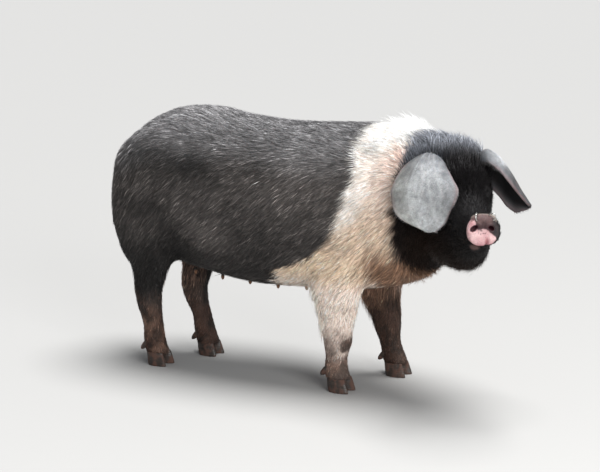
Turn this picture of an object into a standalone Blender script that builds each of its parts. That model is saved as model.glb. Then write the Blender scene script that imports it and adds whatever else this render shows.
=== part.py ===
"""Bazna pig, life size, standing still with its head turned to its right.

Blender 4.5, metres, +Z up. The pig faces +X and its right side is towards -Y.
The body is lofted whole from named sections, then parted into its named pieces by thin cuts.
"""

import math
import random

import bpy
import bmesh
import numpy as np
from mathutils import Matrix, Vector
from mathutils.bvhtree import BVHTree

# Driving sizes of the animal
WITHERS = 0.765
RUMP_TOP = 0.784
LOIN_TOP = 0.752
BELLY_CLEAR = 0.272
TRUNK_REAR = -0.505
HALF_WIDTH = 0.212

# Middle of the whole box, seen from the point between the four feet
BOX_MIDDLE = Vector((0.155, -0.056, 0.0))

# Thin cut between neighbouring pieces
GAP = 0.0003

# The head's own frame: midway between the ear roots, turned right and nodded down
EAR_LINE = Vector((0.630, -0.066, 0.704))
HEAD_YAW = math.radians(-53.6)
HEAD_NOD = math.radians(26.1)
DISC_TILT = math.radians(20.0)

# Triangles of the two skins before they are parted, and where their creases are blended
REAR_TRIANGLES = 2900
FRONT_TRIANGLES = 3100
SOFT_FROM = 0.25
SOFT_BAND = 0.08
FACE_FROM = 0.13

# Ground places of the feet
FRONT_RIGHT = (0.270, -0.087)
FRONT_LEFT = (0.338, 0.141)
HIND_RIGHT = (-0.339, -0.112)
HIND_LEFT = (-0.269, 0.059)
CORONET = 0.040

SLATE = (0.035, 0.033, 0.036, 1.0)
PALE = (0.72, 0.60, 0.52, 1.0)
EAR_GREY = (0.33, 0.34, 0.36, 1.0)
SNOUT_PINK = (0.62, 0.36, 0.36, 1.0)
HORN = (0.10, 0.075, 0.055, 1.0)
EYE_DARK = (0.02, 0.012, 0.008, 1.0)
WIRE = (0.62, 0.61, 0.58, 1.0)
MUDDY = (0.09, 0.06, 0.045, 1.0)


def head_point(along, left=0.0, up=0.0):
    """World place of a point of the head: along towards the snout, left, and up from the ear line."""
    return EAR_LINE + HEAD_AXIS * along + HEAD_LEFT * left + HEAD_UP * up


HEAD_AXIS = Vector((math.cos(HEAD_YAW) * math.cos(HEAD_NOD),
                    math.sin(HEAD_YAW) * math.cos(HEAD_NOD),
                    -math.sin(HEAD_NOD)))
HEAD_LEFT = Vector((-math.sin(HEAD_YAW), math.cos(HEAD_YAW), 0.0))
HEAD_UP = HEAD_AXIS.cross(HEAD_LEFT)


# Scene helpers

def clear_scene():
    """Remove every object that the new file opened with."""
    for obj in list(bpy.data.objects):
        bpy.data.objects.remove(obj, do_unlink=True)


def make_collection(name):
    """A collection linked to the scene."""
    collection = bpy.data.collections.new(name)
    bpy.context.scene.collection.children.link(collection)
    return collection


def make_material(name, colour, roughness, metallic=0.0):
    """A Principled material with one colour."""
    material = bpy.data.materials.new(name)
    material.use_nodes = True
    shader = material.node_tree.nodes["Principled BSDF"]
    shader.inputs["Base Color"].default_value = colour
    shader.inputs["Roughness"].default_value = roughness
    shader.inputs["Metallic"].default_value = metallic
    material.diffuse_color = colour
    return material


def add_object(name, points, faces, collection):
    """A mesh object of triangles from points and faces, with its normals turned outwards."""
    mesh = bpy.data.meshes.new(name)
    mesh.from_pydata([tuple(p) for p in points], [], faces)
    build = bmesh.new()
    build.from_mesh(mesh)
    bmesh.ops.recalc_face_normals(build, faces=build.faces)
    bmesh.ops.triangulate(build, faces=build.faces)
    build.to_mesh(mesh)
    build.free()
    obj = bpy.data.objects.new(name, mesh)
    collection.objects.link(obj)
    return obj


def remove(obj):
    """Delete an object that has done its work."""
    bpy.data.objects.remove(obj, do_unlink=True)


def apply_modifiers(obj):
    """Replace an object's mesh by what its modifiers make of it."""
    bpy.context.view_layer.update()
    graph = bpy.context.evaluated_depsgraph_get()
    mesh = bpy.data.meshes.new_from_object(obj.evaluated_get(graph))
    obj.modifiers.clear()
    old = obj.data
    obj.data = mesh
    bpy.data.meshes.remove(old)
    return obj


def boolean(obj, other, operation, solver="EXACT"):
    """Join, cut or intersect an object with a closed mesh object."""
    modifier = obj.modifiers.new("Boolean", "BOOLEAN")
    modifier.operation = operation
    modifier.solver = solver
    modifier.object = other
    return apply_modifiers(obj)


def join_collection(obj, helpers, solver="EXACT"):
    """Fuse every object of a collection into one object, then remove them."""
    modifier = obj.modifiers.new("Join", "BOOLEAN")
    modifier.operation = "UNION"
    modifier.operand_type = "COLLECTION"
    modifier.collection = helpers
    modifier.solver = solver
    apply_modifiers(obj)
    for helper in list(helpers.objects):
        remove(helper)
    return obj


def keep_largest(obj):
    """Keep only the largest closed surface of a mesh, and triangulate it."""
    build = bmesh.new()
    build.from_mesh(obj.data)
    bmesh.ops.remove_doubles(build, verts=build.verts, dist=1e-6)
    islands = []
    unseen = set(build.faces)
    while unseen:
        start = unseen.pop()
        island = [start]
        stack = [start]
        while stack:
            face = stack.pop()
            for edge in face.edges:
                for near in edge.link_faces:
                    if near in unseen:
                        unseen.remove(near)
                        island.append(near)
                        stack.append(near)
        islands.append(island)
    islands.sort(key=lambda island: sum(face.calc_area() for face in island))
    for island in islands[:-1]:
        bmesh.ops.delete(build, geom=island, context="FACES")
    loose = [vert for vert in build.verts if not vert.link_faces]
    bmesh.ops.delete(build, geom=loose, context="VERTS")
    bmesh.ops.triangulate(build, faces=build.faces)
    build.to_mesh(obj.data)
    build.free()
    return obj


# Curves and lofts

def smooth_values(knots, rows, at):
    """Smooth values through rows at the knots, by a cubic that never overshoots."""
    knots = np.asarray(knots, float)
    rows = np.asarray(rows, float)
    steps = np.diff(knots)[:, None]
    slopes = np.diff(rows, axis=0) / steps
    tangents = np.zeros_like(rows)
    tangents[0] = slopes[0]
    tangents[-1] = slopes[-1]
    same_way = slopes[:-1] * slopes[1:] > 0
    both = slopes[:-1] + slopes[1:]
    safe = np.where(same_way, both, 1.0)
    tangents[1:-1] = np.where(same_way, 2 * slopes[:-1] * slopes[1:] / safe, 0.0)
    at = np.clip(np.asarray(at, float), knots[0], knots[-1])
    span = np.clip(np.searchsorted(knots, at, side="right") - 1, 0, len(knots) - 2)
    width = np.diff(knots)[span][:, None]
    t = (at - knots[span])[:, None] / width
    return (rows[span] * (1 + 2 * t) * (1 - t) ** 2
            + tangents[span] * width * t * (1 - t) ** 2
            + rows[span + 1] * t * t * (3 - 2 * t)
            + tangents[span + 1] * width * t * t * (t - 1))


def ring_points(centre, side, up, half_width, rise, drop, square, turns):
    """One closed section: a superellipse with its own rise above and drop below the centre."""
    angle = np.linspace(0, 2 * np.pi, turns, endpoint=False)
    cosine, sine = np.cos(angle), np.sin(angle)
    across = np.sign(cosine) * np.abs(cosine) ** (2 / square) * half_width
    height = np.sign(sine) * np.abs(sine) ** (2 / square) * np.where(sine > 0, rise, drop)
    return centre + across[:, None] * side + height[:, None] * up


def loft_object(name, rings, collection):
    """A closed mesh through rings of equal length, with a pole in the middle of each end."""
    rings = np.asarray(rings)
    count, turns = rings.shape[:2]
    points = list(rings.reshape(-1, 3)) + [rings[0].mean(axis=0), rings[-1].mean(axis=0)]
    faces = []
    for ring in range(count - 1):
        for turn in range(turns):
            after = (turn + 1) % turns
            a, b = ring * turns + turn, ring * turns + after
            faces.append((a, b, b + turns, a + turns))
    first, last = count * turns, count * turns + 1
    for turn in range(turns):
        after = (turn + 1) % turns
        faces.append((first, after, turn))
        faces.append((last, (count - 1) * turns + turn, (count - 1) * turns + after))
    return add_object(name, points, faces, collection)


def spine_loft(name, stations, rings, turns, collection):
    """A loft along a spine. Each station is place, yaw, nod, half width, rise, drop and squareness."""
    rows = np.array([[*centre, yaw, nod, width, rise, drop, square]
                     for centre, yaw, nod, width, rise, drop, square in stations])
    steps = np.linalg.norm(np.diff(rows[:, :3], axis=0), axis=1)
    knots = np.concatenate([[0.0], np.cumsum(np.maximum(steps, 0.004))])
    at = np.linspace(0, knots[-1], rings)
    made = []
    for x, y, z, yaw, nod, width, rise, drop, square in smooth_values(knots, rows, at):
        side = np.array([-math.sin(yaw), math.cos(yaw), 0.0])
        axis = np.array([math.cos(yaw) * math.cos(nod), math.sin(yaw) * math.cos(nod), -math.sin(nod)])
        up = np.cross(axis, side)
        made.append(ring_points(np.array([x, y, z]), side, up, width, rise, drop, square, turns))
    return loft_object(name, made, collection)


def limb_loft(name, stations, rings, turns, collection):
    """A limb from level sections. Each station is place, half length, half width and squareness."""
    rows = np.array([[*centre, length, width, square] for centre, length, width, square in stations])
    knots = -rows[:, 2]
    at = np.linspace(knots[0], knots[-1], rings)
    east, north = np.array([1.0, 0.0, 0.0]), np.array([0.0, 1.0, 0.0])
    made = [ring_points(np.array([x, y, z]), east, north, length, width, width, square, turns)
            for x, y, z, length, width, square in smooth_values(knots, rows, at)]
    return loft_object(name, made, collection)


# The whole body, before it is parted

def trunk_middle(x):
    """Sideways place of the spine: the forehand stands a little to the left of the hips."""
    return 0.05 * x


def trunk_stations():
    """Sections of the trunk from the tail root to the breast: place, top, bottom and half width."""
    outline = [
        (TRUNK_REAR, 0.622, 0.570, 0.030),
        (TRUNK_REAR + 0.010, 0.648, 0.520, 0.072),
        (TRUNK_REAR + 0.035, 0.676, 0.455, 0.110),
        (TRUNK_REAR + 0.075, RUMP_TOP - 0.080, 0.400, 0.142),
        (TRUNK_REAR + 0.130, RUMP_TOP - 0.041, 0.350, 0.168),
        (TRUNK_REAR + 0.205, RUMP_TOP - 0.010, 0.318, 0.186),
        (TRUNK_REAR + 0.305, RUMP_TOP - 0.001, BELLY_CLEAR + 0.024, 0.197),
        (TRUNK_REAR + 0.425, LOIN_TOP + 0.010, BELLY_CLEAR + 0.004, 0.207),
        (TRUNK_REAR + 0.565, LOIN_TOP, BELLY_CLEAR, HALF_WIDTH),
        (TRUNK_REAR + 0.675, LOIN_TOP + 0.003, BELLY_CLEAR + 0.006, HALF_WIDTH - 0.004),
        (TRUNK_REAR + 0.785, WITHERS - 0.004, BELLY_CLEAR + 0.014, 0.198),
        (TRUNK_REAR + 0.885, WITHERS, BELLY_CLEAR + 0.024, 0.182),
        (TRUNK_REAR + 0.965, WITHERS - 0.004, BELLY_CLEAR + 0.045, 0.155),
        (TRUNK_REAR + 1.025, WITHERS - 0.040, BELLY_CLEAR + 0.085, 0.115),
        (TRUNK_REAR + 1.050, 0.66, 0.46, 0.050),
    ]
    stations = []
    for x, top, bottom, half_width in outline:
        middle = bottom + 0.52 * (top - bottom)
        stations.append(((x, trunk_middle(x), middle), 0.0, 0.0, half_width, top - middle, middle - bottom, 2.3))
    return stations


def head_station(along, top, bottom, half_width, square, level=0.5, tilt=0.0):
    """A section across the head, between a top and a bottom height of the head's own frame."""
    middle = bottom + level * (top - bottom)
    place = head_point(along, 0.0, middle)
    return (place, HEAD_YAW, HEAD_NOD - tilt, half_width, top - middle, middle - bottom, square)


def neck_stations():
    """Sections from inside the shoulders round the bend of the neck to the back of the head."""
    return [
        ((0.330, 0.012, 0.530), 0.0, 0.0, 0.165, 0.222, 0.215, 2.2),
        ((0.430, 0.012, 0.535), HEAD_YAW * 0.15, HEAD_NOD * 0.1, 0.166, 0.222, 0.212, 2.2),
        ((0.520, 0.000, 0.548), HEAD_YAW * 0.35, HEAD_NOD * 0.3, 0.154, 0.202, 0.196, 2.2),
        ((0.590, -0.024, 0.562), HEAD_YAW * 0.5, HEAD_NOD * 0.5, 0.128, 0.178, 0.168, 2.2),
        ((0.612, -0.034, 0.566), HEAD_YAW * 0.5, HEAD_NOD * 0.5, 0.060, 0.080, 0.070, 2.2),
    ]


def head_stations():
    """Sections of the head from the poll to the flared rim of the snout."""
    jowl = 0.40
    return [
        head_station(-0.095, -0.060, -0.190, 0.050, 2.2, jowl),
        head_station(-0.078, 0.000, -0.265, 0.094, 2.2, jowl),
        head_station(-0.035, 0.020, -0.305, 0.110, 2.2, jowl),
        head_station(0.015, 0.018, -0.304, 0.101, 2.2, jowl),
        head_station(0.065, 0.007, -0.276, 0.087, 2.2, jowl),
        head_station(0.110, -0.004, -0.226, 0.072, 2.2, jowl),
        head_station(0.155, -0.016, -0.174, 0.060, 2.3, jowl),
        head_station(0.200, -0.020, -0.130, 0.052, 2.4),
        head_station(0.245, -0.014, -0.098, 0.049, 2.4, tilt=DISC_TILT * 0.3),
        head_station(0.285, 0.003, -0.075, 0.044, 2.4, tilt=DISC_TILT * 0.6),
        head_station(0.308, 0.020, -0.058, 0.041, 2.3, tilt=DISC_TILT * 0.9),
        head_station(0.322, 0.031, -0.050, 0.045, 2.3, tilt=DISC_TILT),
        head_station(0.332, 0.032, -0.049, 0.044, 2.3, tilt=DISC_TILT),
        head_station(0.337, 0.026, -0.042, 0.037, 2.3, tilt=DISC_TILT),
    ]


def jaw_stations():
    """Sections of the lower jaw from the throat to the lower lip."""
    return [
        head_station(-0.010, -0.160, -0.290, 0.082, 2.3),
        head_station(0.030, -0.120, -0.310, 0.096, 2.3),
        head_station(0.090, -0.100, -0.300, 0.086, 2.3),
        head_station(0.150, -0.085, -0.268, 0.069, 2.3),
        head_station(0.205, -0.072, -0.230, 0.055, 2.3),
        head_station(0.250, -0.062, -0.180, 0.043, 2.3),
        head_station(0.285, -0.056, -0.136, 0.033, 2.3),
        head_station(0.308, -0.056, -0.098, 0.022, 2.3),
        head_station(0.315, -0.062, -0.082, 0.010, 2.3),
    ]


def front_leg_stations(foot, side):
    """Level sections of a front leg from the shoulder blade to the coronet."""
    x, y = foot
    shoulder_x, shoulder_y = 0.310, trunk_middle(0.31) + side * 0.118
    elbow_x, elbow_y = 0.280 + (x - 0.30) * 0.2, trunk_middle(0.28) + side * 0.118
    knee_x = 0.5 * (x + elbow_x) - 0.004
    return [
        ((shoulder_x + 0.005, shoulder_y - side * 0.030, 0.660), 0.030, 0.020, 2.0),
        ((shoulder_x + 0.005, shoulder_y - side * 0.010, 0.610), 0.085, 0.052, 2.0),
        ((shoulder_x, shoulder_y, 0.500), 0.118, 0.078, 2.0),
        ((shoulder_x - 0.005, shoulder_y + side * 0.002, 0.400), 0.112, 0.078, 2.0),
        ((elbow_x, elbow_y, 0.310), 0.082, 0.060, 2.1),
        ((elbow_x * 0.8 + knee_x * 0.2, elbow_y * 0.5 + y * 0.5, 0.240), 0.061, 0.046, 2.1),
        ((knee_x, y, 0.170), 0.044, 0.037, 2.2),
        ((knee_x * 0.9 + x * 0.1, y, 0.140), 0.040, 0.034, 2.2),
        ((knee_x * 0.4 + x * 0.6 - 0.004, y, 0.095), 0.031, 0.029, 2.1),
        ((x - 0.006, y, 0.065), 0.034, 0.032, 2.1),
        ((x + 0.004, y, CORONET - 0.006), 0.036, 0.034, 2.2),
    ]


def hind_leg_stations(foot, side):
    """Level sections of a hind leg from the hip over the hock to the coronet."""
    x, y = foot
    hip_x, hip_y = -0.352, trunk_middle(-0.352) + side * 0.092
    stifle_y = trunk_middle(-0.34) + side * 0.110
    hock_x = x * 0.78 - 0.107
    return [
        ((hip_x + 0.010, hip_y - side * 0.020, 0.700), 0.050, 0.030, 2.0),
        ((hip_x, hip_y, 0.640), 0.084, 0.046, 2.0),
        ((hip_x - 0.004, hip_y + side * 0.008, 0.545), 0.122, 0.076, 2.1),
        ((hip_x - 0.004, stifle_y - side * 0.012, 0.440), 0.128, 0.080, 2.1),
        ((hip_x + 0.000, stifle_y * 0.7 + y * 0.3, 0.360), 0.104, 0.062, 2.1),
        ((hock_x + 0.014, stifle_y * 0.3 + y * 0.7, 0.290), 0.062, 0.041, 2.1),
        ((hock_x + 0.002, y, 0.215), 0.044, 0.031, 2.2),
        ((hock_x + 0.006, y, 0.180), 0.040, 0.029, 2.2),
        ((hock_x * 0.4 + x * 0.6, y, 0.120), 0.031, 0.027, 2.1),
        ((x - 0.008, y, 0.070), 0.034, 0.031, 2.1),
        ((x + 0.004, y, CORONET - 0.006), 0.036, 0.034, 2.2),
    ]


def merge_lofts(name, parts, collection, voxel, smoothing, triangles):
    """One closed skin over several overlapping lofts, smoothed and thinned to a triangle budget."""
    points, faces = [], []
    for part in parts:
        base = len(points)
        points += [vert.co.copy() for vert in part.data.vertices]
        faces += [tuple(base + index for index in face.vertices) for face in part.data.polygons]
    mesh = bpy.data.meshes.new(name)
    mesh.from_pydata(points, [], faces)
    whole = bpy.data.objects.new(name, mesh)
    collection.objects.link(whole)
    for part in parts:
        remove(part)
    remesh = whole.modifiers.new("Remesh", "REMESH")
    remesh.mode = "VOXEL"
    remesh.voxel_size = voxel
    apply_modifiers(whole)
    soften(whole, smoothing)
    sides = sum(len(face.vertices) - 2 for face in whole.data.polygons)
    thin = whole.modifiers.new("Thin", "DECIMATE")
    thin.ratio = triangles / sides
    return keep_largest(apply_modifiers(whole))


def soften(whole, rounds):
    """Blend the creases between lofts: many rounds on the trunk and neck, few on the legs and face."""
    soft = whole.vertex_groups.new(name="soft")
    head_place = HEAD_FRAME.inverted()
    for vert in whole.data.vertices:
        on_body = min(1.0, max(0.0, (vert.co.z - SOFT_FROM) / SOFT_BAND))
        forward = (head_place @ vert.co).x
        off_face = min(1.0, max(0.0, (FACE_FROM - forward) / SOFT_BAND))
        soft.add([vert.index], on_body * off_face, "REPLACE")
    body = whole.modifiers.new("SoftBody", "SMOOTH")
    body.factor = 0.5
    body.iterations = rounds * 5
    body.vertex_group = soft.name
    everywhere = whole.modifiers.new("SoftAll", "SMOOTH")
    everywhere.factor = 0.5
    everywhere.iterations = rounds
    apply_modifiers(whole)


def build_rear(helpers):
    """Trunk and four legs as one skin."""
    parts = [spine_loft("trunk", trunk_stations(), 90, 56, helpers)]
    for foot, side in ((FRONT_RIGHT, -1), (FRONT_LEFT, 1)):
        parts.append(limb_loft("front_leg", front_leg_stations(foot, side), 60, 32, helpers))
    for foot, side in ((HIND_RIGHT, -1), (HIND_LEFT, 1)):
        parts.append(limb_loft("hind_leg", hind_leg_stations(foot, side), 60, 32, helpers))
    parts.append(spine_loft("neck", neck_stations(), 40, 48, helpers))
    return merge_lofts("rear", parts, helpers, 0.009, 4, REAR_TRIANGLES)


def build_front(helpers):
    """Neck, head and lower jaw as one skin."""
    parts = [
        spine_loft("trunk", trunk_stations(), 90, 56, helpers),
        spine_loft("neck", neck_stations(), 40, 48, helpers),
        spine_loft("head", head_stations(), 70, 56, helpers),
        spine_loft("lower_jaw", jaw_stations(), 50, 40, helpers),
    ]
    for foot, side in ((FRONT_RIGHT, -1), (FRONT_LEFT, 1)):
        parts.append(limb_loft("shoulder", front_leg_stations(foot, side)[:5], 40, 32, helpers))
    return merge_lofts("front", parts, helpers, 0.006, 3, FRONT_TRIANGLES)


# Parting by thin cuts

def region_object(name, points, faces, frame, helpers):
    """A closed cutter from points given in a frame."""
    return add_object(name, [frame @ Vector(point) for point in points], faces, helpers)


def box_region(low, high, frame, shrink, helpers):
    """A box between two corners of a frame, made smaller by shrink on every side."""
    build = bmesh.new()
    bmesh.ops.create_cube(build, size=1.0)
    for vert in build.verts:
        local = [(h + l) / 2 + (h - l - 2 * shrink) * c for l, h, c in zip(low, high, vert.co)]
        vert.co = frame @ Vector(local)
    mesh = bpy.data.meshes.new("box")
    build.to_mesh(mesh)
    build.free()
    obj = bpy.data.objects.new("box", mesh)
    helpers.objects.link(obj)
    return obj


def arch_region(middle, top, radius, inner, outer, shrink, helpers):
    """An arch standing on the ground: a half disc on straight sides, from an inner to an outer wall."""
    turns = 14
    reach = radius - shrink
    outline = [(middle + reach * math.cos(math.pi * step / turns),
                top - radius + reach * math.sin(math.pi * step / turns)) for step in range(turns + 1)]
    outline += [(middle - reach, -FAR), (middle + reach, -FAR)]
    sign = 1 if outer > inner else -1
    walls = (inner + sign * shrink, outer)
    points = [(x, y, z) for y in walls for x, z in outline]
    count = len(outline)
    faces = [tuple(range(count)), tuple(range(2 * count - 1, count - 1, -1))]
    faces += [(i, (i + 1) % count, count + (i + 1) % count, count + i) for i in range(count)]
    return region_object("arch", points, faces, Matrix.Identity(4), helpers)


def part_off(whole, name, make_region, helpers):
    """Part the piece of a body inside a region from the rest, with a thin gap all round."""
    piece = whole.copy()
    piece.data = whole.data.copy()
    piece.name = name
    helpers.objects.link(piece)
    inside = make_region(GAP / 2)
    outside = make_region(-GAP / 2)
    boolean(piece, inside, "INTERSECT")
    boolean(whole, outside, "DIFFERENCE")
    remove(inside)
    remove(outside)
    keep_largest(piece)
    keep_largest(whole)
    return piece


def swollen_copy(obj, swell, helpers):
    """A copy of a closed piece with its surface moved out, to cut its own clearance."""
    copy = obj.copy()
    copy.data = obj.data.copy()
    helpers.objects.link(copy)
    build = bmesh.new()
    build.from_mesh(copy.data)
    build.normal_update()
    moved = [vert.co + vert.normal * swell for vert in build.verts]
    for vert, place in zip(build.verts, moved):
        vert.co = place
    build.to_mesh(copy.data)
    build.free()
    return copy


def seat(body, piece, helpers):
    """Cut the room for a piece's root out of the body that it grows from."""
    room = swollen_copy(piece, GAP * 1.6, helpers)
    boolean(body, room, "DIFFERENCE")
    remove(room)
    keep_largest(body)


def surface_tree(obj):
    """A tree of an object's triangles, for finding its surface."""
    build = bmesh.new()
    build.from_mesh(obj.data)
    tree = BVHTree.FromBMesh(build)
    build.free()
    return tree


HEAD_FRAME = Matrix((
    (HEAD_AXIS.x, HEAD_LEFT.x, HEAD_UP.x, EAR_LINE.x),
    (HEAD_AXIS.y, HEAD_LEFT.y, HEAD_UP.y, EAR_LINE.y),
    (HEAD_AXIS.z, HEAD_LEFT.z, HEAD_UP.z, EAR_LINE.z),
    (0.0, 0.0, 0.0, 1.0),
))
DISC_FRAME = HEAD_FRAME @ Matrix.Translation((0.335, 0.0, -0.008)) @ Matrix.Rotation(-DISC_TILT, 4, "Y")
NECK_CUT = Matrix.Translation((0.455, 0.0, 0.54)) @ Matrix.Rotation(HEAD_YAW * 0.3, 4, "Z")
HEAD_CUT = HEAD_FRAME @ Matrix.Translation((-0.045, 0.0, 0.0)) @ Matrix.Rotation(math.radians(-8), 4, "Y")
SNOUT_CUT = HEAD_FRAME @ Matrix.Translation((0.262, 0.0, 0.0)) @ Matrix.Rotation(-DISC_TILT * 0.5, 4, "Y")
MOUTH_CUT = HEAD_FRAME @ Matrix.Translation((0.150, 0.0, -0.094)) @ Matrix.Rotation(math.radians(-13), 4, "Y")
FAR = 2.0


# Ears

def sheet_object(name, outer, inner, collection):
    """A closed bent sheet between an outer and an inner grid of points of the same size."""
    count, across = outer.shape[:2]
    points = np.concatenate([outer, inner[:, ::-1]], axis=1)
    turns = 2 * across
    faces = []
    for ring in range(count - 1):
        for turn in range(turns):
            after = (turn + 1) % turns
            a, b = ring * turns + turn, ring * turns + after
            faces.append((a, b, b + turns, a + turns))
    for base, step in ((0, 1), ((count - 1) * turns, -1)):
        for turn in range(across - 1):
            face = (base + turn, base + turns - 1 - turn, base + turns - 2 - turn, base + turn + 1)
            faces.append(face[::step])
    return add_object(name, points.reshape(-1, 3), faces, collection)


def ear_object(name, stations, crown_at, collection):
    """A lop ear: a thin sheet arched across, thick at the root and thin at the rim.

    Each station across it is the rear edge, the crown of the arch and the front edge, in the head's
    frame, and crown_at is where the crown lies between the front edge at -1 and the rear edge at 1.
    """
    lengthwise, across = 12, 7
    knots = np.arange(len(stations))
    s = np.linspace(0.0, 1.0, lengthwise)
    rear, crown, front = (smooth_values(knots, [station[place] for station in stations], s * knots[-1])
                          for place in range(3))
    t = np.linspace(-1.0, 1.0, across)[None, :, None]
    at_front = (t - crown_at) * (t - 1) / ((-1 - crown_at) * -2)
    at_crown = (t + 1) * (t - 1) / ((crown_at + 1) * (crown_at - 1))
    at_rear = (t + 1) * (t - crown_at) / (2 * (1 - crown_at))
    sheet = at_front * front[:, None] + at_crown * crown[:, None] + at_rear * rear[:, None]
    lengthways = np.gradient(sheet, axis=0)
    crossways = np.gradient(sheet, axis=1)
    normal = np.cross(lengthways, crossways)
    normal /= np.linalg.norm(normal, axis=2, keepdims=True)
    wall = EAR_THICK * (1 - 0.45 * s[:, None, None]) * (1 - 0.55 * t ** 4)
    placed = [np.array([[HEAD_FRAME @ Vector(point) for point in row] for row in sheet + normal * wall * half])
              for half in (0.5, -0.5)]
    return sheet_object(name, placed[0], placed[1], collection)


RIGHT_EAR = (
    ((0.002, -0.093, -0.032), (0.002, -0.071, -0.025), (0.013, -0.051, -0.021)),
    ((-0.006, -0.118, -0.014), (0.009, -0.084, 0.009), (0.041, -0.049, -0.003)),
    ((0.011, -0.162, -0.041), (0.060, -0.105, -0.006), (0.096, -0.040, -0.004)),
    ((0.043, -0.190, -0.091), (0.094, -0.113, -0.050), (0.141, -0.033, -0.010)),
    ((0.077, -0.181, -0.128), (0.116, -0.107, -0.096), (0.168, -0.049, -0.049)),
    ((0.103, -0.153, -0.146), (0.130, -0.100, -0.129), (0.166, -0.063, -0.101)),
    ((0.120, -0.108, -0.159), (0.141, -0.094, -0.152), (0.154, -0.084, -0.138)),
)
LEFT_EAR = (
    ((-0.015, 0.072, -0.093), (-0.012, 0.050, -0.012), (0.016, 0.046, -0.018)),
    ((0.000, 0.094, -0.110), (0.000, 0.072, 0.012), (0.048, 0.068, 0.002)),
    ((0.018, 0.117, -0.126), (0.014, 0.095, 0.006), (0.075, 0.094, -0.005)),
    ((0.038, 0.138, -0.145), (0.032, 0.118, -0.016), (0.092, 0.118, -0.025)),
    ((0.058, 0.157, -0.151), (0.052, 0.137, -0.038), (0.102, 0.137, -0.046)),
    ((0.078, 0.174, -0.133), (0.071, 0.161, -0.072), (0.104, 0.159, -0.073)),
    ((0.090, 0.187, -0.119), (0.087, 0.188, -0.109), (0.096, 0.183, -0.102)),
)
EAR_THICK = 0.008


# Eyes, lids, nostrils and rings

def ball_object(name, place, frame, radii, segments, rings, collection):
    """An ellipsoid with its axes along a frame's axes."""
    build = bmesh.new()
    bmesh.ops.create_uvsphere(build, u_segments=segments, v_segments=rings, radius=1.0)
    turn = frame.to_3x3()
    for vert in build.verts:
        scaled = Vector([radius * c for radius, c in zip(radii, vert.co)])
        vert.co = Vector(place) + turn @ scaled
    build.normal_update()
    bmesh.ops.recalc_face_normals(build, faces=build.faces)
    bmesh.ops.triangulate(build, faces=build.faces)
    mesh = bpy.data.meshes.new(name)
    build.to_mesh(mesh)
    build.free()
    obj = bpy.data.objects.new(name, mesh)
    collection.objects.link(obj)
    return obj


EYE_ALONG = 0.104
EYE_UP = -0.050
EYE_RADIUS = 0.012
LID = 0.0034


def eye_frame(head, side):
    """Frame at an eye: its place under the skin, with X looking out and Y forward along the face."""
    tree = surface_tree(head)
    start = head_point(EYE_ALONG, side * 0.3, EYE_UP)
    hit, normal, _, _ = tree.ray_cast(start, -HEAD_LEFT * side)
    out = (HEAD_LEFT * side * 0.9 + HEAD_AXIS * 0.35 + HEAD_UP * 0.15).normalized()
    ahead = (HEAD_AXIS - out * HEAD_AXIS.dot(out)).normalized()
    up = out.cross(ahead) * (1 if out.cross(ahead).dot(HEAD_UP) > 0 else -1)
    place = hit - out * (EYE_RADIUS * 0.60)
    return Matrix((
        (out.x, ahead.x, up.x, place.x),
        (out.y, ahead.y, up.y, place.y),
        (out.z, ahead.z, up.z, place.z),
        (0.0, 0.0, 0.0, 1.0),
    ))


def slit_object(frame, half_length, half_height, reach, helpers):
    """An almond-shaped opening that runs outwards from the middle of an eye."""
    turns = 8
    outline = []
    for step in range(turns):
        angle = 2 * math.pi * step / turns
        height = half_height * math.sin(angle) * abs(math.sin(angle)) ** 0.35
        outline.append((half_length * math.cos(angle), height))
    points = [(depth, y, z) for depth in (0.0, reach) for y, z in outline]
    faces = [tuple(range(turns)), tuple(range(2 * turns - 1, turns - 1, -1))]
    faces += [(i, (i + 1) % turns, turns + (i + 1) % turns, turns + i) for i in range(turns)]
    return region_object("slit", points, faces, frame, helpers)


def build_eye(head, side, name, parts, helpers):
    """Lids raised from the head round an eyeball that keeps its own clearance."""
    frame = eye_frame(head, side)
    place = frame.translation
    lid = ball_object("lid", place, frame, (EYE_RADIUS + LID, EYE_RADIUS * 1.75, EYE_RADIUS + LID), 11, 7, helpers)
    boolean(head, lid, "UNION")
    remove(lid)
    slit = slit_object(frame, EYE_RADIUS * 1.02, EYE_RADIUS * 0.50, EYE_RADIUS * 3, helpers)
    boolean(head, slit, "DIFFERENCE")
    remove(slit)
    eye = ball_object(name, place, frame, [EYE_RADIUS] * 3, 9, 6, parts)
    room = ball_object("room", place, frame, [EYE_RADIUS + GAP * 1.6] * 3, 9, 6, helpers)
    boolean(head, room, "DIFFERENCE")
    remove(room)
    keep_largest(head)
    return eye


NOSTRIL_SIDE = 0.0205
NOSTRIL_UP = 0.009


def cut_nostrils(snout, helpers):
    """Two oval nostrils sunk in the upper half of the disc."""
    for side in (-1, 1):
        place = DISC_FRAME @ Vector((0.0, side * NOSTRIL_SIDE, NOSTRIL_UP))
        hole = ball_object("nostril", place, DISC_FRAME, (0.016, 0.0085, 0.0072), 9, 6, helpers)
        boolean(snout, hole, "DIFFERENCE")
        remove(hole)
    keep_largest(snout)


RING_RADIUS = 0.0105
RING_WIRE = 0.0014


def ring_object(name, side, parts):
    """A wire ring that pierces the upper rim of the snout."""
    bpy.ops.mesh.primitive_torus_add(major_segments=14, minor_segments=4,
                                     major_radius=RING_RADIUS, minor_radius=RING_WIRE)
    ring = bpy.context.active_object
    ring.name = name
    lean = Matrix.Rotation(math.radians(90 + 14 * side), 4, "X")
    place = DISC_FRAME @ Matrix.Translation((-0.007, side * 0.0185, 0.038)) @ lean
    ring.data.transform(place)
    for collection in list(ring.users_collection):
        collection.objects.unlink(ring)
    parts.objects.link(ring)
    return ring


# Tail, claws and teats

TAIL_END = (-0.512, 0.004, 0.440)


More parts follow.
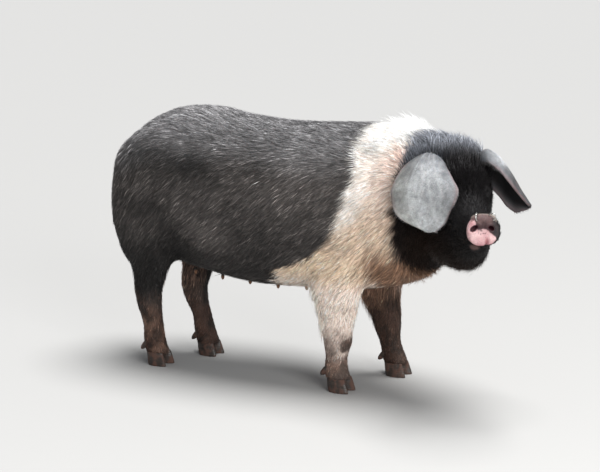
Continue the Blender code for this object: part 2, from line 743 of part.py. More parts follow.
def build_tail(parts):
    """The tail, hanging slack between the hams with a small curl at its end."""
    route = [(-0.468, -0.020, 0.628), (-0.492, -0.018, 0.630), (-0.510, -0.013, 0.612), (-0.515, -0.006, 0.572),
             (-0.511, 0.002, 0.520), (-0.508, 0.008, 0.485), (-0.510, 0.007, 0.460), TAIL_END]
    radii = [0.019, 0.018, 0.0165, 0.014, 0.0115, 0.010, 0.009, 0.0075]
    tail = bpy.data.curves.new("tail", "CURVE")
    tail.dimensions = "3D"
    tail.use_fill_caps = True
    tail.bevel_depth = 1.0
    tail.bevel_resolution = 1
    line = tail.splines.new("POLY")
    knots = np.linspace(0, 1, len(route))
    at = np.linspace(0, 1, 14)
    points = smooth_values(knots, np.column_stack([route, radii]), at)
    line.points.add(len(points) - 1)
    for point, (x, y, z, radius) in zip(line.points, points):
        point.co = (x, y, z, 1.0)
        point.radius = radius
    shape = bpy.data.objects.new("tail_route", tail)
    parts.objects.link(shape)
    bpy.context.view_layer.update()
    mesh = bpy.data.meshes.new_from_object(shape.evaluated_get(bpy.context.evaluated_depsgraph_get()))
    remove(shape)
    obj = bpy.data.objects.new("tail", mesh)
    parts.objects.link(obj)
    build = bmesh.new()
    build.from_mesh(mesh)
    bmesh.ops.remove_doubles(build, verts=build.verts, dist=1e-5)
    bmesh.ops.triangulate(build, faces=build.faces)
    bmesh.ops.recalc_face_normals(build, faces=build.faces)
    build.to_mesh(mesh)
    build.free()
    return obj


CLAW_LENGTH = 0.066
CLAW_WIDTH = 0.032


def claw_object(name, foot, side, parts):
    """One main claw: an egg-shaped sole drawn to a point ahead, rising to the coronet."""
    levels = [(0.0, 1.0, 0.004), (0.018, 0.99, 0.001), (CORONET - GAP, 0.88, -0.006)]
    turns = 10
    angle = np.linspace(0, 2 * np.pi, turns, endpoint=False)
    splay = math.radians(7) * side
    rings = []
    for z, scale, shift in levels:
        x = CLAW_LENGTH / 2 * scale * np.cos(angle) + shift + 0.008
        y = CLAW_WIDTH / 2 * scale * np.sin(angle) * (1 - 0.30 * np.cos(angle))
        turned_x = x * math.cos(splay) - y * math.sin(splay)
        turned_y = x * math.sin(splay) + y * math.cos(splay)
        rings.append(np.column_stack([foot[0] + turned_x, foot[1] + side * 0.0180 + turned_y,
                                      np.full(turns, z)]))
    return loft_object(name, rings, parts)


def dewclaw_object(name, foot, side, parts):
    """A small horn behind the pastern that points down and back."""
    start = Vector((foot[0] - 0.018, foot[1] + side * 0.017, 0.076))
    end = Vector((foot[0] - 0.044, foot[1] + side * 0.022, 0.045))
    axis = (end - start).normalized()
    sideways = axis.cross(Vector((0, 1, 0))).normalized()
    other = axis.cross(sideways)
    turns = 6
    rings = []
    for place, radius in ((0.0, 0.009), (0.45, 0.0105), (1.0, 0.0045)):
        centre = start.lerp(end, place)
        rings.append([centre + sideways * radius * math.cos(2 * math.pi * k / turns)
                      + other * radius * math.sin(2 * math.pi * k / turns) for k in range(turns)])
    return loft_object(name, np.array(rings), parts)


def add_teats(body):
    """Two rows of small teats under the belly, fused to the body."""
    teats = make_collection("teats")
    tree = surface_tree(body)
    for row in range(5):
        x = -0.225 + row * 0.095
        for side in (-1, 1):
            start = Vector((x, trunk_middle(x) + side * (0.058 + 0.004 * row), 0.05))
            hit, _, _, _ = tree.ray_cast(start, Vector((0, 0, 1)))
            ball_object("teat", hit, Matrix.Identity(4), (0.0065, 0.0065, 0.012), 5, 4, teats)
    join_collection(body, teats)
    bpy.data.collections.remove(teats)
    keep_largest(body)


# Locks of the bristly coat

LOCK_SEED = 11
LOCK_ROOT = 0.009
LOCK_THICK = 0.0052

# Length and width of a lock, then its rise out of the skin and its bend back as parts of the length
CREST_LOCK = (0.068, 0.037, 0.33, 0.20)
BEARD_LOCK = (0.050, 0.034, 0.33, 0.18)
FRINGE = (0.056, 0.026, 0.30, 0.16)
TUFT = (0.060, 0.018, 0.25, 0.20)

# Rows of locks: from, to and step along the coat line, whether they lie on the top or the underside,
# the lock, and how far its lie falls from level
CREST = (0.820, 1.275, 0.045, True, CREST_LOCK, 0.0)
BEARD = (1.165, 1.330, 0.044, False, BEARD_LOCK, 0.5)
ROW_PITCH = 0.032
ROW_OFFSETS = (-0.048, -0.016, 0.016, 0.048)
TORSO_TO = 0.960
NECK_FROM = 0.860
FRINGE_HEIGHTS = (0.315, 0.275, 0.235)
FRINGE_TURNS = (-30, 0, 30)
TUFT_LOCKS = 5


def coat_line():
    """Middle line of the body from the hips to the brow: knots, and rows of place, yaw and nod."""
    places = [(x, trunk_middle(x), 0.53, 0.0, 0.0) for x in (-0.46, -0.30, -0.10, 0.10, 0.30)]
    places += [(*centre, yaw, nod) for centre, yaw, nod, *_ in neck_stations()[1:4]]
    for along in (0.020, 0.090, 0.160, 0.230):
        places.append((*head_point(along, 0.0, -0.130 + 0.30 * along), HEAD_YAW, HEAD_NOD))
    rows = np.array(places)
    knots = np.concatenate([[0.0], np.cumsum(np.linalg.norm(np.diff(rows[:, :3], axis=0), axis=1))])
    return knots, rows


def lock_object(root, normal, lie, size, draw, collection):
    """A flat tapered lock: it leaves the skin along its lie, overlaps the next and bends back down.

    Size is the length, the width, the rise out of the skin and the bend back, as parts of the length.
    """
    length, width, rise, bend = size
    length *= draw.uniform(0.85, 1.15)
    width *= draw.uniform(0.9, 1.1)
    sideways = lie.cross(normal).normalized()
    sway = draw.uniform(-0.18, 0.18)
    rings = []
    for along, broad, thick in ((-LOCK_ROOT / length, 0.75, 1.0), (0.38, 1.0, 0.75), (0.74, 0.66, 0.45)):
        outward = rise * along - bend * along * abs(along)
        centre = root + (lie * along + normal * outward + sideways * sway * along * along) * length
        if along < 0:
            centre -= normal * LOCK_ROOT * 0.8
        half_width = sideways * width * broad / 2
        half_thick = normal * LOCK_THICK * thick / 2
        rings.append([centre + half_width, centre + half_thick, centre - half_width, centre - half_thick])
    tip = root + (lie + normal * (rise - bend) + sideways * sway) * length
    points = [point for ring in rings for point in ring] + [tip]
    faces = [(0, 1, 2, 3)]
    for ring in range(2):
        for turn in range(4):
            after = (turn + 1) % 4
            a, b = ring * 4 + turn, ring * 4 + after
            faces.append((a, b, b + 4, a + 4))
    faces += [(8 + turn, 8 + (turn + 1) % 4, 12) for turn in range(4)]
    return add_object("lock", points, faces, collection)


def lie_of_coat(normal, backward, fall):
    """Direction of the coat on the skin: backward, and downward by the fall."""
    wanted = backward * (1 - fall) + Vector((0.0, 0.0, -1.0)) * fall
    return (wanted - normal * wanted.dot(normal)).normalized()


def add_rows(tree, rows, first, last, draw, locks):
    """Lay staggered rows of locks along the coat line, between two places on it."""
    start, end, step, on_top, size, fall = rows
    knots, line = coat_line()
    half_turn = 0.0 if on_top else math.pi
    for count, place in enumerate(np.arange(start, end, step)):
        if not first <= place <= last:
            continue
        x, y, z, yaw, nod = smooth_values(knots, line, [place])[0]
        centre = Vector((x, y, z))
        side = Vector((-math.sin(yaw), math.cos(yaw), 0.0))
        axis = Vector((math.cos(yaw) * math.cos(nod), math.sin(yaw) * math.cos(nod), -math.sin(nod)))
        up = axis.cross(side)
        radius = tree.ray_cast(centre, up * math.cos(half_turn))[3]
        stagger = 0.25 * ROW_PITCH * (1 if count % 2 else -1)
        for offset in ROW_OFFSETS:
            turn = half_turn + (offset + stagger + draw.uniform(-0.003, 0.003)) / radius
            inside = centre + axis * draw.uniform(-0.2, 0.2) * step
            root, normal, _, _ = tree.ray_cast(inside, up * math.cos(turn) + side * math.sin(turn))
            lock_object(root, normal, lie_of_coat(normal, -axis, fall), size, draw, locks)


def add_fringe(tree, foot, draw, locks):
    """Rows of locks down the back of a foreleg."""
    for height in FRINGE_HEIGHTS:
        for turn in FRINGE_TURNS:
            angle = math.radians(180 + turn + draw.uniform(-5, 5))
            start = Vector((foot[0] + (height - 0.04) * 0.06, foot[1], height + draw.uniform(-0.008, 0.008)))
            root, normal, _, _ = tree.ray_cast(start, Vector((math.cos(angle), math.sin(angle), 0.0)))
            lock_object(root, normal, lie_of_coat(normal, Vector((-1.0, 0.0, 0.0)), 0.88), FRINGE, draw, locks)


def add_tuft(tail, draw, locks):
    """Locks round the end of the tail, hanging past its tip."""
    tree = surface_tree(tail)
    for step in range(TUFT_LOCKS):
        turn = step * 2.4
        start = Vector((TAIL_END[0], TAIL_END[1], TAIL_END[2] + 0.020 + 0.008 * (step % 3)))
        outward = Vector((math.cos(turn), math.sin(turn), 0.0))
        root, normal, _, _ = tree.ray_cast(start, outward)
        lock_object(root, normal, lie_of_coat(normal, Vector((0.0, 0.0, -1.0)), 1.0), TUFT, draw, locks)


def fuse_locks(body, locks):
    """Fuse the locks to their body by one union."""
    join_collection(body, locks, "MANIFOLD")
    bpy.data.collections.remove(locks)
    keep_largest(body)


def part_limbs(torso, helpers):
    """Part shoulders, hams and lower legs from the trunk, and level their lower ends."""
    limbs = {}
    plans = (
        ("right", -1, "shoulder", "front_leg", 0.300, 0.640, 0.125, -0.040, 0.238),
        ("left", 1, "shoulder", "front_leg", 0.305, 0.640, 0.125, 0.060, 0.238),
        ("right", -1, "ham", "hind_leg", -0.352, 0.680, 0.150, -0.046, 0.262),
        ("left", 1, "ham", "hind_leg", -0.342, 0.680, 0.150, 0.010, 0.262),
    )
    for word, side, upper, lower, middle, top, radius, wall, knee in plans:
        limb = part_off(torso, f"{upper}_{word}", lambda shrink: arch_region(
            middle, top, radius, wall, side * FAR, shrink, helpers), helpers)
        leg = part_off(limb, f"{lower}_{word}", lambda shrink: box_region(
            (-FAR, -FAR, -FAR), (FAR, FAR, knee), Matrix.Identity(4), shrink, helpers), helpers)
        sole = box_region((-FAR, -FAR, -FAR), (FAR, FAR, CORONET), Matrix.Identity(4), 0.0, helpers)
        boolean(leg, sole, "DIFFERENCE")
        remove(sole)
        keep_largest(leg)
        limbs[limb.name] = limb
        limbs[leg.name] = leg
    return limbs


def main():
    """Build the whole pig."""
    clear_scene()
    parts = make_collection("bazna_pig")
    helpers = make_collection("helpers")
    looks = {
        "slate": make_material("slate_hair", SLATE, 0.6),
        "pale": make_material("pale_skin", PALE, 0.6),
        "grey": make_material("ear_skin", EAR_GREY, 0.55),
        "pink": make_material("snout_skin", SNOUT_PINK, 0.45),
        "horn": make_material("claw_horn", HORN, 0.5),
        "dark": make_material("eye_dark", EYE_DARK, 0.08),
        "wire": make_material("ring_wire", WIRE, 0.3, 1.0),
        "muddy": make_material("muddy_hair", MUDDY, 0.75),
    }
    rear = build_rear(helpers)
    add_teats(rear)
    front = build_front(helpers)
    draw = random.Random(LOCK_SEED)
    locks = make_collection("locks")
    tree = surface_tree(rear)
    add_rows(tree, CREST, 0.0, TORSO_TO, draw, locks)
    for foot in (FRONT_RIGHT, FRONT_LEFT):
        add_fringe(tree, foot, draw, locks)
    fuse_locks(rear, locks)
    locks = make_collection("locks")
    tree = surface_tree(front)
    add_rows(tree, CREST, NECK_FROM, FAR, random.Random(LOCK_SEED), locks)
    add_rows(tree, BEARD, 0.0, FAR, draw, locks)
    fuse_locks(front, locks)

    def ahead(frame):
        """A region in front of a frame's YZ plane."""
        return lambda shrink: box_region((0.0, -FAR, -FAR), (FAR, FAR, FAR), frame, shrink, helpers)

    head = part_off(front, "neck_and_head", ahead(NECK_CUT), helpers)
    remove(front)
    remove(part_off(rear, "spare", ahead(NECK_CUT), helpers))
    torso = rear
    torso.name = "torso"
    neck = head
    head = part_off(neck, "head", ahead(HEAD_CUT), helpers)
    neck.name = "neck"
    jaw = part_off(head, "jaw", lambda shrink: box_region(
        (0.0, -FAR, -FAR), (FAR, FAR, 0.0), MOUTH_CUT, shrink, helpers), helpers)
    snout = part_off(head, "snout", ahead(SNOUT_CUT), helpers)
    limbs = part_limbs(torso, helpers)

    pieces = {"torso": (torso, "slate"), "neck": (neck, "pale"), "head": (head, "slate"),
              "jaw": (jaw, "slate"), "snout": (snout, "pink")}
    limb_looks = {"shoulder": "pale", "front_leg": "muddy", "ham": "slate", "hind_leg": "muddy"}
    for name, limb in limbs.items():
        pieces[name] = (limb, limb_looks[name.rsplit("_", 1)[0]])
    for side, name in ((-1, "eye_right"), (1, "eye_left")):
        pieces[name] = (build_eye(head, side, name, parts, helpers), "dark")
    for name, stations, crown_at in (("ear_right", RIGHT_EAR, 0.0), ("ear_left", LEFT_EAR, -0.38)):
        ear = ear_object(name, stations, crown_at, parts)
        seat(head, ear, helpers)
        pieces[name] = (ear, "grey")
    cut_nostrils(snout, helpers)
    for side, name in ((-1, "nose_ring_right"), (1, "nose_ring_left")):
        ring = ring_object(name, side, parts)
        seat(snout, ring, helpers)
        pieces[name] = (ring, "wire")
    tail = build_tail(parts)
    locks = make_collection("locks")
    add_tuft(tail, draw, locks)
    fuse_locks(tail, locks)
    seat(torso, tail, helpers)
    pieces["tail"] = (tail, "slate")
    feet = {"front_leg_right": FRONT_RIGHT, "front_leg_left": FRONT_LEFT,
            "hind_leg_right": HIND_RIGHT, "hind_leg_left": HIND_LEFT}
    for leg, foot in feet.items():
        for side, word in ((-1, "right"), (1, "left")):
            claw = claw_object(leg.replace("leg", "claw") + f"_{word}", foot, side, parts)
            pieces[claw.name] = (claw, "horn")
            dewclaw = dewclaw_object(leg.replace("leg", "dewclaw") + f"_{word}", foot, side, parts)
            seat(limbs[leg], dewclaw, helpers)
            pieces[dewclaw.name] = (dewclaw, "horn")

    stand = bpy.data.objects.new("bazna_pig_place", None)
    stand.location = -BOX_MIDDLE
    parts.objects.link(stand)
    for name, (obj, look) in pieces.items():
        for collection in list(obj.users_collection):
            collection.objects.unlink(obj)
        parts.objects.link(obj)
        obj.name = name
        obj.data.materials.clear()
        obj.data.materials.append(looks[look])
        obj.parent = stand
    bpy.data.collections.remove(helpers)


main()
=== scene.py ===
"""Looks of a life-size bazna pig that stands still with its head turned to its right.

One skin stands for every piece of flesh. It is lofted from named sections, blended, sculpted and then
covered by a coat of mesh bristles that follow the lie of the hair. Markings are one set of functions of
place, which the skin and the coat both read. Metres, +Z up; the pig faces +X.
"""

from __future__ import annotations

import logging
import math
from collections.abc import Sequence
from dataclasses import dataclass, field
from enum import Enum

import bmesh
import bpy
import numpy as np
from mathutils import Matrix, Vector
from mathutils.bvhtree import BVHTree

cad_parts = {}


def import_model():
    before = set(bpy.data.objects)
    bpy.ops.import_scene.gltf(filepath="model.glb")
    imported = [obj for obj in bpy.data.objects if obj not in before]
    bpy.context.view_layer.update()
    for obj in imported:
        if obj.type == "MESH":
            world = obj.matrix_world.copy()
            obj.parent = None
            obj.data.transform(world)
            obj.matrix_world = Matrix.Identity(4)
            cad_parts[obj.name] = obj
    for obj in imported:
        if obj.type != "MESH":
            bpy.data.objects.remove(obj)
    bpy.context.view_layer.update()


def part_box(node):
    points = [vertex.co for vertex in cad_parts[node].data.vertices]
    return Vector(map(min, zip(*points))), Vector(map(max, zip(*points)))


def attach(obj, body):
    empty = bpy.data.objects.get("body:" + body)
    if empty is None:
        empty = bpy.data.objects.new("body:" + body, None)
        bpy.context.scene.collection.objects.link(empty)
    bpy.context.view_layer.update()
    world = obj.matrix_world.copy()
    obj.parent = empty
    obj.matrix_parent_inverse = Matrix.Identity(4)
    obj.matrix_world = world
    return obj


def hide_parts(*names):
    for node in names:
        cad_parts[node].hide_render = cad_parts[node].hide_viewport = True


LOG = logging.getLogger("bazna_pig")

Array = np.ndarray
Triple = tuple[float, float, float]
Object, Mesh, Material, Node = bpy.types.Object, bpy.types.Mesh, bpy.types.Material, bpy.types.Node

# The pig's own origin, midway between its four feet, lies here in the frame's coordinates
PIG_ORIGIN = np.array([-0.155, 0.056, 0.0])
SIDES = {"right": -1, "left": 1}
# Middle of the free part of a teat, from its root
TEAT_TIP = np.array([0.0, 0.0, -0.006])
# Most triangles of the skin
SKIN_TRIANGLES = 192_000
# How far tufts start below the skin, and the size of the patch that each takes on the map
SUNK = 0.0012
PATCH = 0.003
# Least agreement of a shape's normal with a tuft's for the tuft to be laid on it
AGREEMENT = 0.3
# A ball on the head that holds both ears, how near an ear a hair may start, how far past its end it is
# looked along, and what a hair that would touch an ear is shrunk to
EARS_MIDDLE = (0.05, 0.0, -0.05)
EARS_REACH = 0.26
EAR_CLEARANCE = 0.0025
RAY_MARGIN = 1.15
SHRUNK = 0.02


# Numbers and fields

def smooth_rows(knots: Array, rows: Array, at: Array) -> Array:
    """Smooth values through rows at knots: cubic pieces whose slopes never overshoot.

    Args:
        knots: Rising places of the rows.
        rows: One row of values at each knot.
        at: Places to read.

    Returns:
        One row of values for each place.
    """
    knots, rows = np.asarray(knots, float), np.asarray(rows, float)
    slopes = np.diff(rows, axis=0) / np.diff(knots)[:, None]
    tangents = np.zeros_like(rows)
    tangents[0], tangents[-1] = slopes[0], slopes[-1]
    same_way = slopes[:-1] * slopes[1:] > 0
    safe = np.where(same_way, slopes[:-1] + slopes[1:], 1.0)
    tangents[1:-1] = np.where(same_way, 2 * slopes[:-1] * slopes[1:] / safe, 0.0)
    at = np.clip(np.asarray(at, float), knots[0], knots[-1])
    span = np.clip(np.searchsorted(knots, at, side="right") - 1, 0, len(knots) - 2)
    width = np.diff(knots)[span][:, None]
    t = (at - knots[span])[:, None] / width
    return (rows[span] * (1 + 2 * t) * (1 - t) ** 2 + tangents[span] * width * t * (1 - t) ** 2
            + rows[span + 1] * t * t * (3 - 2 * t) + tangents[span + 1] * width * t * t * (t - 1))


def step(low: float, high: float, value: Array) -> Array:
    """Ease from 0 at low to 1 at high: 3t squared less 2t cubed."""
    t = np.clip((np.asarray(value, float) - low) / (high - low), 0.0, 1.0)
    return t * t * (3 - 2 * t)


def mix(first: Array, second: Array, share: Array) -> Array:
    """Blend rows of colour or direction by a share for each row."""
    share = np.asarray(share)[..., None]
    return np.asarray(first) * (1 - share) + np.asarray(second) * share


def unit(vectors: Array) -> Array:
    """Vectors divided by their lengths."""
    return vectors / np.maximum(np.linalg.norm(vectors, axis=-1, keepdims=True), 1e-9)


def noise(points: Array, scale: float, seed: int = 0) -> Array:
    """Value noise from -1 to 1: random values on a lattice of cells, eased between the corners.

    Args:
        points: Places, one row each.
        scale: Cells in a metre, one number or one for each axis.
        seed: Which random lattice.

    Returns:
        One value for each place.
    """
    scaled = points * scale
    cell = np.floor(scaled).astype(np.int64)
    part = scaled - cell
    ease = part * part * (3 - 2 * part)
    total = np.zeros(len(points))
    for corner in range(8):
        offset = np.array([corner & 1, corner >> 1 & 1, corner >> 2 & 1])
        x, y, z = (cell + offset).T
        mixed = (x * 73856093) ^ (y * 19349663) ^ (z * 83492791) ^ (seed * 982451653)
        mixed = ((mixed ^ (mixed >> 13)) * 1274126177) & 0xFFFFFFFF
        value = ((mixed ^ (mixed >> 15)) & 0xFFFF) / 32767.5 - 1.0
        total += value * np.prod(np.where(offset, ease, 1 - ease), axis=1)
    return total


def bell(*gaps: Array) -> Array:
    """1 where each gap is 0, falling with the sum of their squares."""
    return np.exp(-sum(gap ** 2 for gap in gaps))


def apart(points: Array, place: Sequence[float], sizes: float | Sequence[float] = 1.0) -> Array:
    """Distance of each point from a place, in units of one size or of one for each axis."""
    return np.linalg.norm((points - np.asarray(place)) / sizes, axis=1)


def flattened(vectors: Array, normals: Array) -> Array:
    """Unit vectors along a surface: each vector less its share of the normal."""
    return unit(vectors - normals * np.einsum("ij,ij->i", vectors, normals)[:, None])


def from_line(points: Array, start: Array, end: Array) -> tuple[Array, Array]:
    """How far along a line from start to end each place lies, from 0 to 1, and its way out from there."""
    along = end - start
    share = np.clip((points - start) @ along / (along @ along), 0.0, 1.0)
    return share, points - start - share[:, None] * along


def distance_to_path(points: Array, path: Array) -> Array:
    """Distance from each place to the nearest piece of an open path."""
    return np.min([np.linalg.norm(from_line(points, start, end)[1], axis=1)
                   for start, end in zip(path[:-1], path[1:])], axis=0)


# Surfaces

@dataclass
class Surface:
    """A closed surface of triangles."""

    points: Array
    faces: Array
    sheet: Array | None = None

    @classmethod
    def from_rings(cls, rings: Array, looped: bool = False, sheet: Array | None = None) -> "Surface":
        """Triangles through rings of equal length.

        Args:
            rings: Points by ring and by turn.
            looped: The last ring joins the first; otherwise a pole closes each end.
            sheet: A vector for each ring point, to be carried along.

        Returns:
            The closed surface, its faces pointing out.
        """
        count, turns = rings.shape[:2]
        index = np.arange(count * turns).reshape(count, turns)
        after = np.roll(index, -1, axis=1)
        upper = np.roll(index, -1, axis=0) if looped else index[1:]
        upper_after = np.roll(upper, -1, axis=1)
        lower, lower_after = (index, after) if looped else (index[:-1], after[:-1])
        faces = [np.stack([lower, lower_after, upper_after], -1).reshape(-1, 3),
                 np.stack([lower, upper_after, upper], -1).reshape(-1, 3)]
        points = rings.reshape(-1, 3)
        if not looped:
            first, last = count * turns, count * turns + 1
            faces.append(np.stack([np.full(turns, first), after[0], index[0]], -1))
            faces.append(np.stack([np.full(turns, last), index[-1], after[-1]], -1))
            points = np.concatenate([points, rings[[0, -1]].mean(axis=1)])
            if sheet is not None:
                ends = sheet[[0, -1]].mean(axis=1)
                sheet = np.concatenate([sheet.reshape(-1, 3), ends])
        made = cls(points, np.concatenate(faces), sheet)
        return made if made.volume() > 0 else cls(points, made.faces[:, ::-1], sheet)

    @classmethod
    def joined(cls, surfaces: list["Surface"]) -> "Surface":
        """Several surfaces as one list of points and faces."""
        starts = np.cumsum([0] + [len(surface.points) for surface in surfaces[:-1]])
        sheets = [np.zeros_like(one.points) if one.sheet is None else one.sheet for one in surfaces]
        return cls(np.concatenate([surface.points for surface in surfaces]),
                   np.concatenate([surface.faces + start for surface, start in zip(surfaces, starts)]),
                   np.concatenate(sheets))

    def volume(self) -> float:
        """Signed volume: a sixth of the sum of the corner triple products."""
        a, b, c = (self.points[self.faces[:, corner]] for corner in range(3))
        return float(np.einsum("ij,ij->i", a, np.cross(b, c)).sum() / 6)

    def normals(self) -> Array:
        """Vertex normals: the sum of the face normals round each vertex, weighted by area."""
        a, b, c = (self.points[self.faces[:, corner]] for corner in range(3))
        face = np.cross(b - a, c - a)
        total = np.zeros_like(self.points)
        for axis in range(3):
            for corner in range(3):
                total[:, axis] += np.bincount(self.faces[:, corner], face[:, axis], len(self.points))
        return unit(total)


def linked(name: str, data: bpy.types.ID) -> Object:
    """A new object of the scene that shows some data."""
    obj = bpy.data.objects.new(name, data)
    bpy.context.scene.collection.objects.link(obj)
    return obj


def mesh_object(name: str, surface: Surface) -> Object:
    """A smooth shaded mesh object from a surface, linked to the scene."""
    mesh = bpy.data.meshes.new(name)
    count = len(surface.faces)
    mesh.vertices.add(len(surface.points))
    mesh.vertices.foreach_set("co", surface.points.astype(np.float32).ravel())
    mesh.loops.add(count * 3)
    mesh.loops.foreach_set("vertex_index", surface.faces.astype(np.int32).ravel())
    mesh.polygons.add(count)
    mesh.polygons.foreach_set("loop_start", np.arange(0, 3 * count, 3, dtype=np.int32))
    mesh.update(calc_edges=True)
    mesh.shade_smooth()
    if surface.sheet is not None:
        carried = mesh.attributes.new("sheet", "FLOAT_VECTOR", "POINT")
        carried.data.foreach_set("vector", surface.sheet.ravel())
    return linked(name, mesh)


def read_points(mesh: Mesh, what: str = "co") -> Array:
    """Places or normals of a mesh's vertices."""
    values = np.empty(len(mesh.vertices) * 3, np.float32)
    mesh.vertices.foreach_get(what, values)
    return values.reshape(-1, 3).astype(float)


def write_points(mesh: Mesh, points: Array) -> None:
    """Move a mesh's vertices to new places."""
    mesh.vertices.foreach_set("co", points.astype(np.float32).ravel())
    mesh.update()


def read_surface(mesh: Mesh) -> Surface:
    """A mesh as triangles."""
    mesh.calc_loop_triangles()
    faces = np.empty(len(mesh.loop_triangles) * 3, np.int32)
    mesh.loop_triangles.foreach_get("vertices", faces)
    return Surface(read_points(mesh), faces.reshape(-1, 3))


def apply_modifiers(obj: Object) -> None:
    """Replace an object's mesh by what its modifiers make of it."""
    bpy.context.view_layer.update()
    mesh = bpy.data.meshes.new_from_object(obj.evaluated_get(bpy.context.evaluated_depsgraph_get()))
    obj.modifiers.clear()
    old, obj.data = obj.data, mesh
    bpy.data.meshes.remove(old)


def thin_out(obj: Object, hidden: Array, most: int) -> None:
    """Collapse edges, first where a surface is hidden, until few enough triangles are left.

    Args:
        obj: The mesh object that changes.
        hidden: Whether each of its points is out of sight.
        most: Triangles that may be left.
    """
    group = obj.vertex_groups.new(name="hidden")
    group.add(np.flatnonzero(hidden).tolist(), 1.0, "REPLACE")
    modifier = obj.modifiers.new("Decimate", "DECIMATE")
    modifier.vertex_group = group.name
    modifier.vertex_group_factor = 10.0
    modifier.ratio = most / len(read_surface(obj.data).faces)
    apply_modifiers(obj)
    obj.vertex_groups.clear()


def combine(body: Object, surfaces: list[Surface], operation: str) -> None:
    """Join closed surfaces to a body, or cut them out of it, one after another.

    Args:
        body: The closed mesh object that changes.
        surfaces: Closed surfaces, in the same coordinates.
        operation: UNION or DIFFERENCE.
    """
    for surface in surfaces:
        helper = mesh_object("helper", surface)
        modifier = body.modifiers.new("Combine", "BOOLEAN")
        modifier.operation = operation
        modifier.solver = "MANIFOLD"
        modifier.object = helper
        apply_modifiers(body)
        mesh = helper.data
        bpy.data.objects.remove(helper, do_unlink=True)
        bpy.data.meshes.remove(mesh)


def relax(mesh: Mesh, weight: Array, rounds: int) -> None:
    """Smooth a mesh.

    Args:
        mesh: The mesh that changes.
        weight: Share of each vertex's move, which goes half way to the mean of its neighbours.
        rounds: How often all vertices move.
    """
    ends = np.empty(len(mesh.edges) * 2, np.int32)
    mesh.edges.foreach_get("vertices", ends)
    ends = ends.reshape(-1, 2)
    here, there = np.concatenate([ends[:, 0], ends[:, 1]]), np.concatenate([ends[:, 1], ends[:, 0]])
    points = read_points(mesh)
    count = len(points)
    valence = np.maximum(np.bincount(here, minlength=count), 1)
    for _ in range(rounds):
        mean = np.stack([np.bincount(here, points[there, axis], count) for axis in range(3)], 1)
        points += 0.5 * weight[:, None] * (mean / valence[:, None] - points)
    write_points(mesh, points)


def refine(obj: Object, chosen: Array) -> None:
    """Halve the edges whose two ends are both chosen, and cut faces of many sides into triangles."""
    build = bmesh.new()
    build.from_mesh(obj.data)
    edges = [edge for edge in build.edges if chosen[edge.verts[0].index] and chosen[edge.verts[1].index]]
    bmesh.ops.subdivide_edges(build, edges=edges, cuts=1, use_grid_fill=True)
    bmesh.ops.triangulate(build, faces=[face for face in build.faces if len(face.verts) > 4])
    build.to_mesh(obj.data)
    build.free()


# The body's form

@dataclass(frozen=True)
class HeadFrame:
    """The head's own frame: midway between the ear roots, turned right and nodded down."""

    origin: Triple = (0.630, -0.066, 0.704)
    yaw: float = math.radians(-53.6)
    nod: float = math.radians(26.1)
    disc_tilt: float = math.radians(20.0)
    disc_middle: Triple = (0.335, 0.0, -0.008)

    def axes(self) -> Array:
        """Rows that point along the head, to its left and up from it."""
        along = np.array([math.cos(self.yaw) * math.cos(self.nod), math.sin(self.yaw) * math.cos(self.nod),
                          -math.sin(self.nod)])
        left = np.array([-math.sin(self.yaw), math.cos(self.yaw), 0.0])
        return np.stack([along, left, np.cross(along, left)])

    def place(self, local: Array) -> Array:
        """Places of the pig from places of the head."""
        return np.asarray(local, float) @ self.axes() + np.array(self.origin)

    def local(self, points: Array) -> Array:
        """Places of the head from places of the pig."""
        return (points - np.array(self.origin)) @ self.axes().T

    def disc_axes(self) -> Array:
        """Rows that point out of the snout disc, to the left and up along it."""
        along, left, up = self.axes()
        out = along * math.cos(self.disc_tilt) + up * math.sin(self.disc_tilt)
        return np.stack([out, left, np.cross(out, left)])

    def disc_place(self, local: Array) -> Array:
        """Places of the pig from places given on the snout disc."""
        return np.asarray(local, float) @ self.disc_axes() + self.place(self.disc_middle)

    def disc_local(self, points: Array) -> Array:
        """Places on the snout disc, as out, left and up, from places of the pig."""
        return (points - self.place(self.disc_middle)) @ self.disc_axes().T


HEAD = HeadFrame()


def ahead_of_trunk(points: Array) -> Array:
    """Share of head: what is said in the head's own coordinates holds only in front of the trunk."""
    return step(0.5, 0.6, points[:, 0])


def ring_points(centre: Array, side: Array, up: Array, sizes: Array, turns: int) -> Array:
    """Closed sections: superellipses with their own rise above and drop below the centre.

    Args:
        centre: Middle of each section.
        side: Direction across each section.
        up: Direction up each section.
        sizes: Half width, rise, drop and squareness of each section.
        turns: Points round a section.

    Returns:
        Points by section and by turn.
    """
    angle = np.linspace(0, 2 * np.pi, turns, endpoint=False)
    cosine, sine = np.cos(angle), np.sin(angle)
    power = 2 / sizes[:, 3:4]
    across = np.sign(cosine) * np.abs(cosine) ** power * sizes[:, 0:1]
    height = np.sign(sine) * np.abs(sine) ** power * np.where(sine > 0, sizes[:, 1:2], sizes[:, 2:3])
    return centre[:, None] + across[..., None] * side[:, None] + height[..., None] * up[:, None]


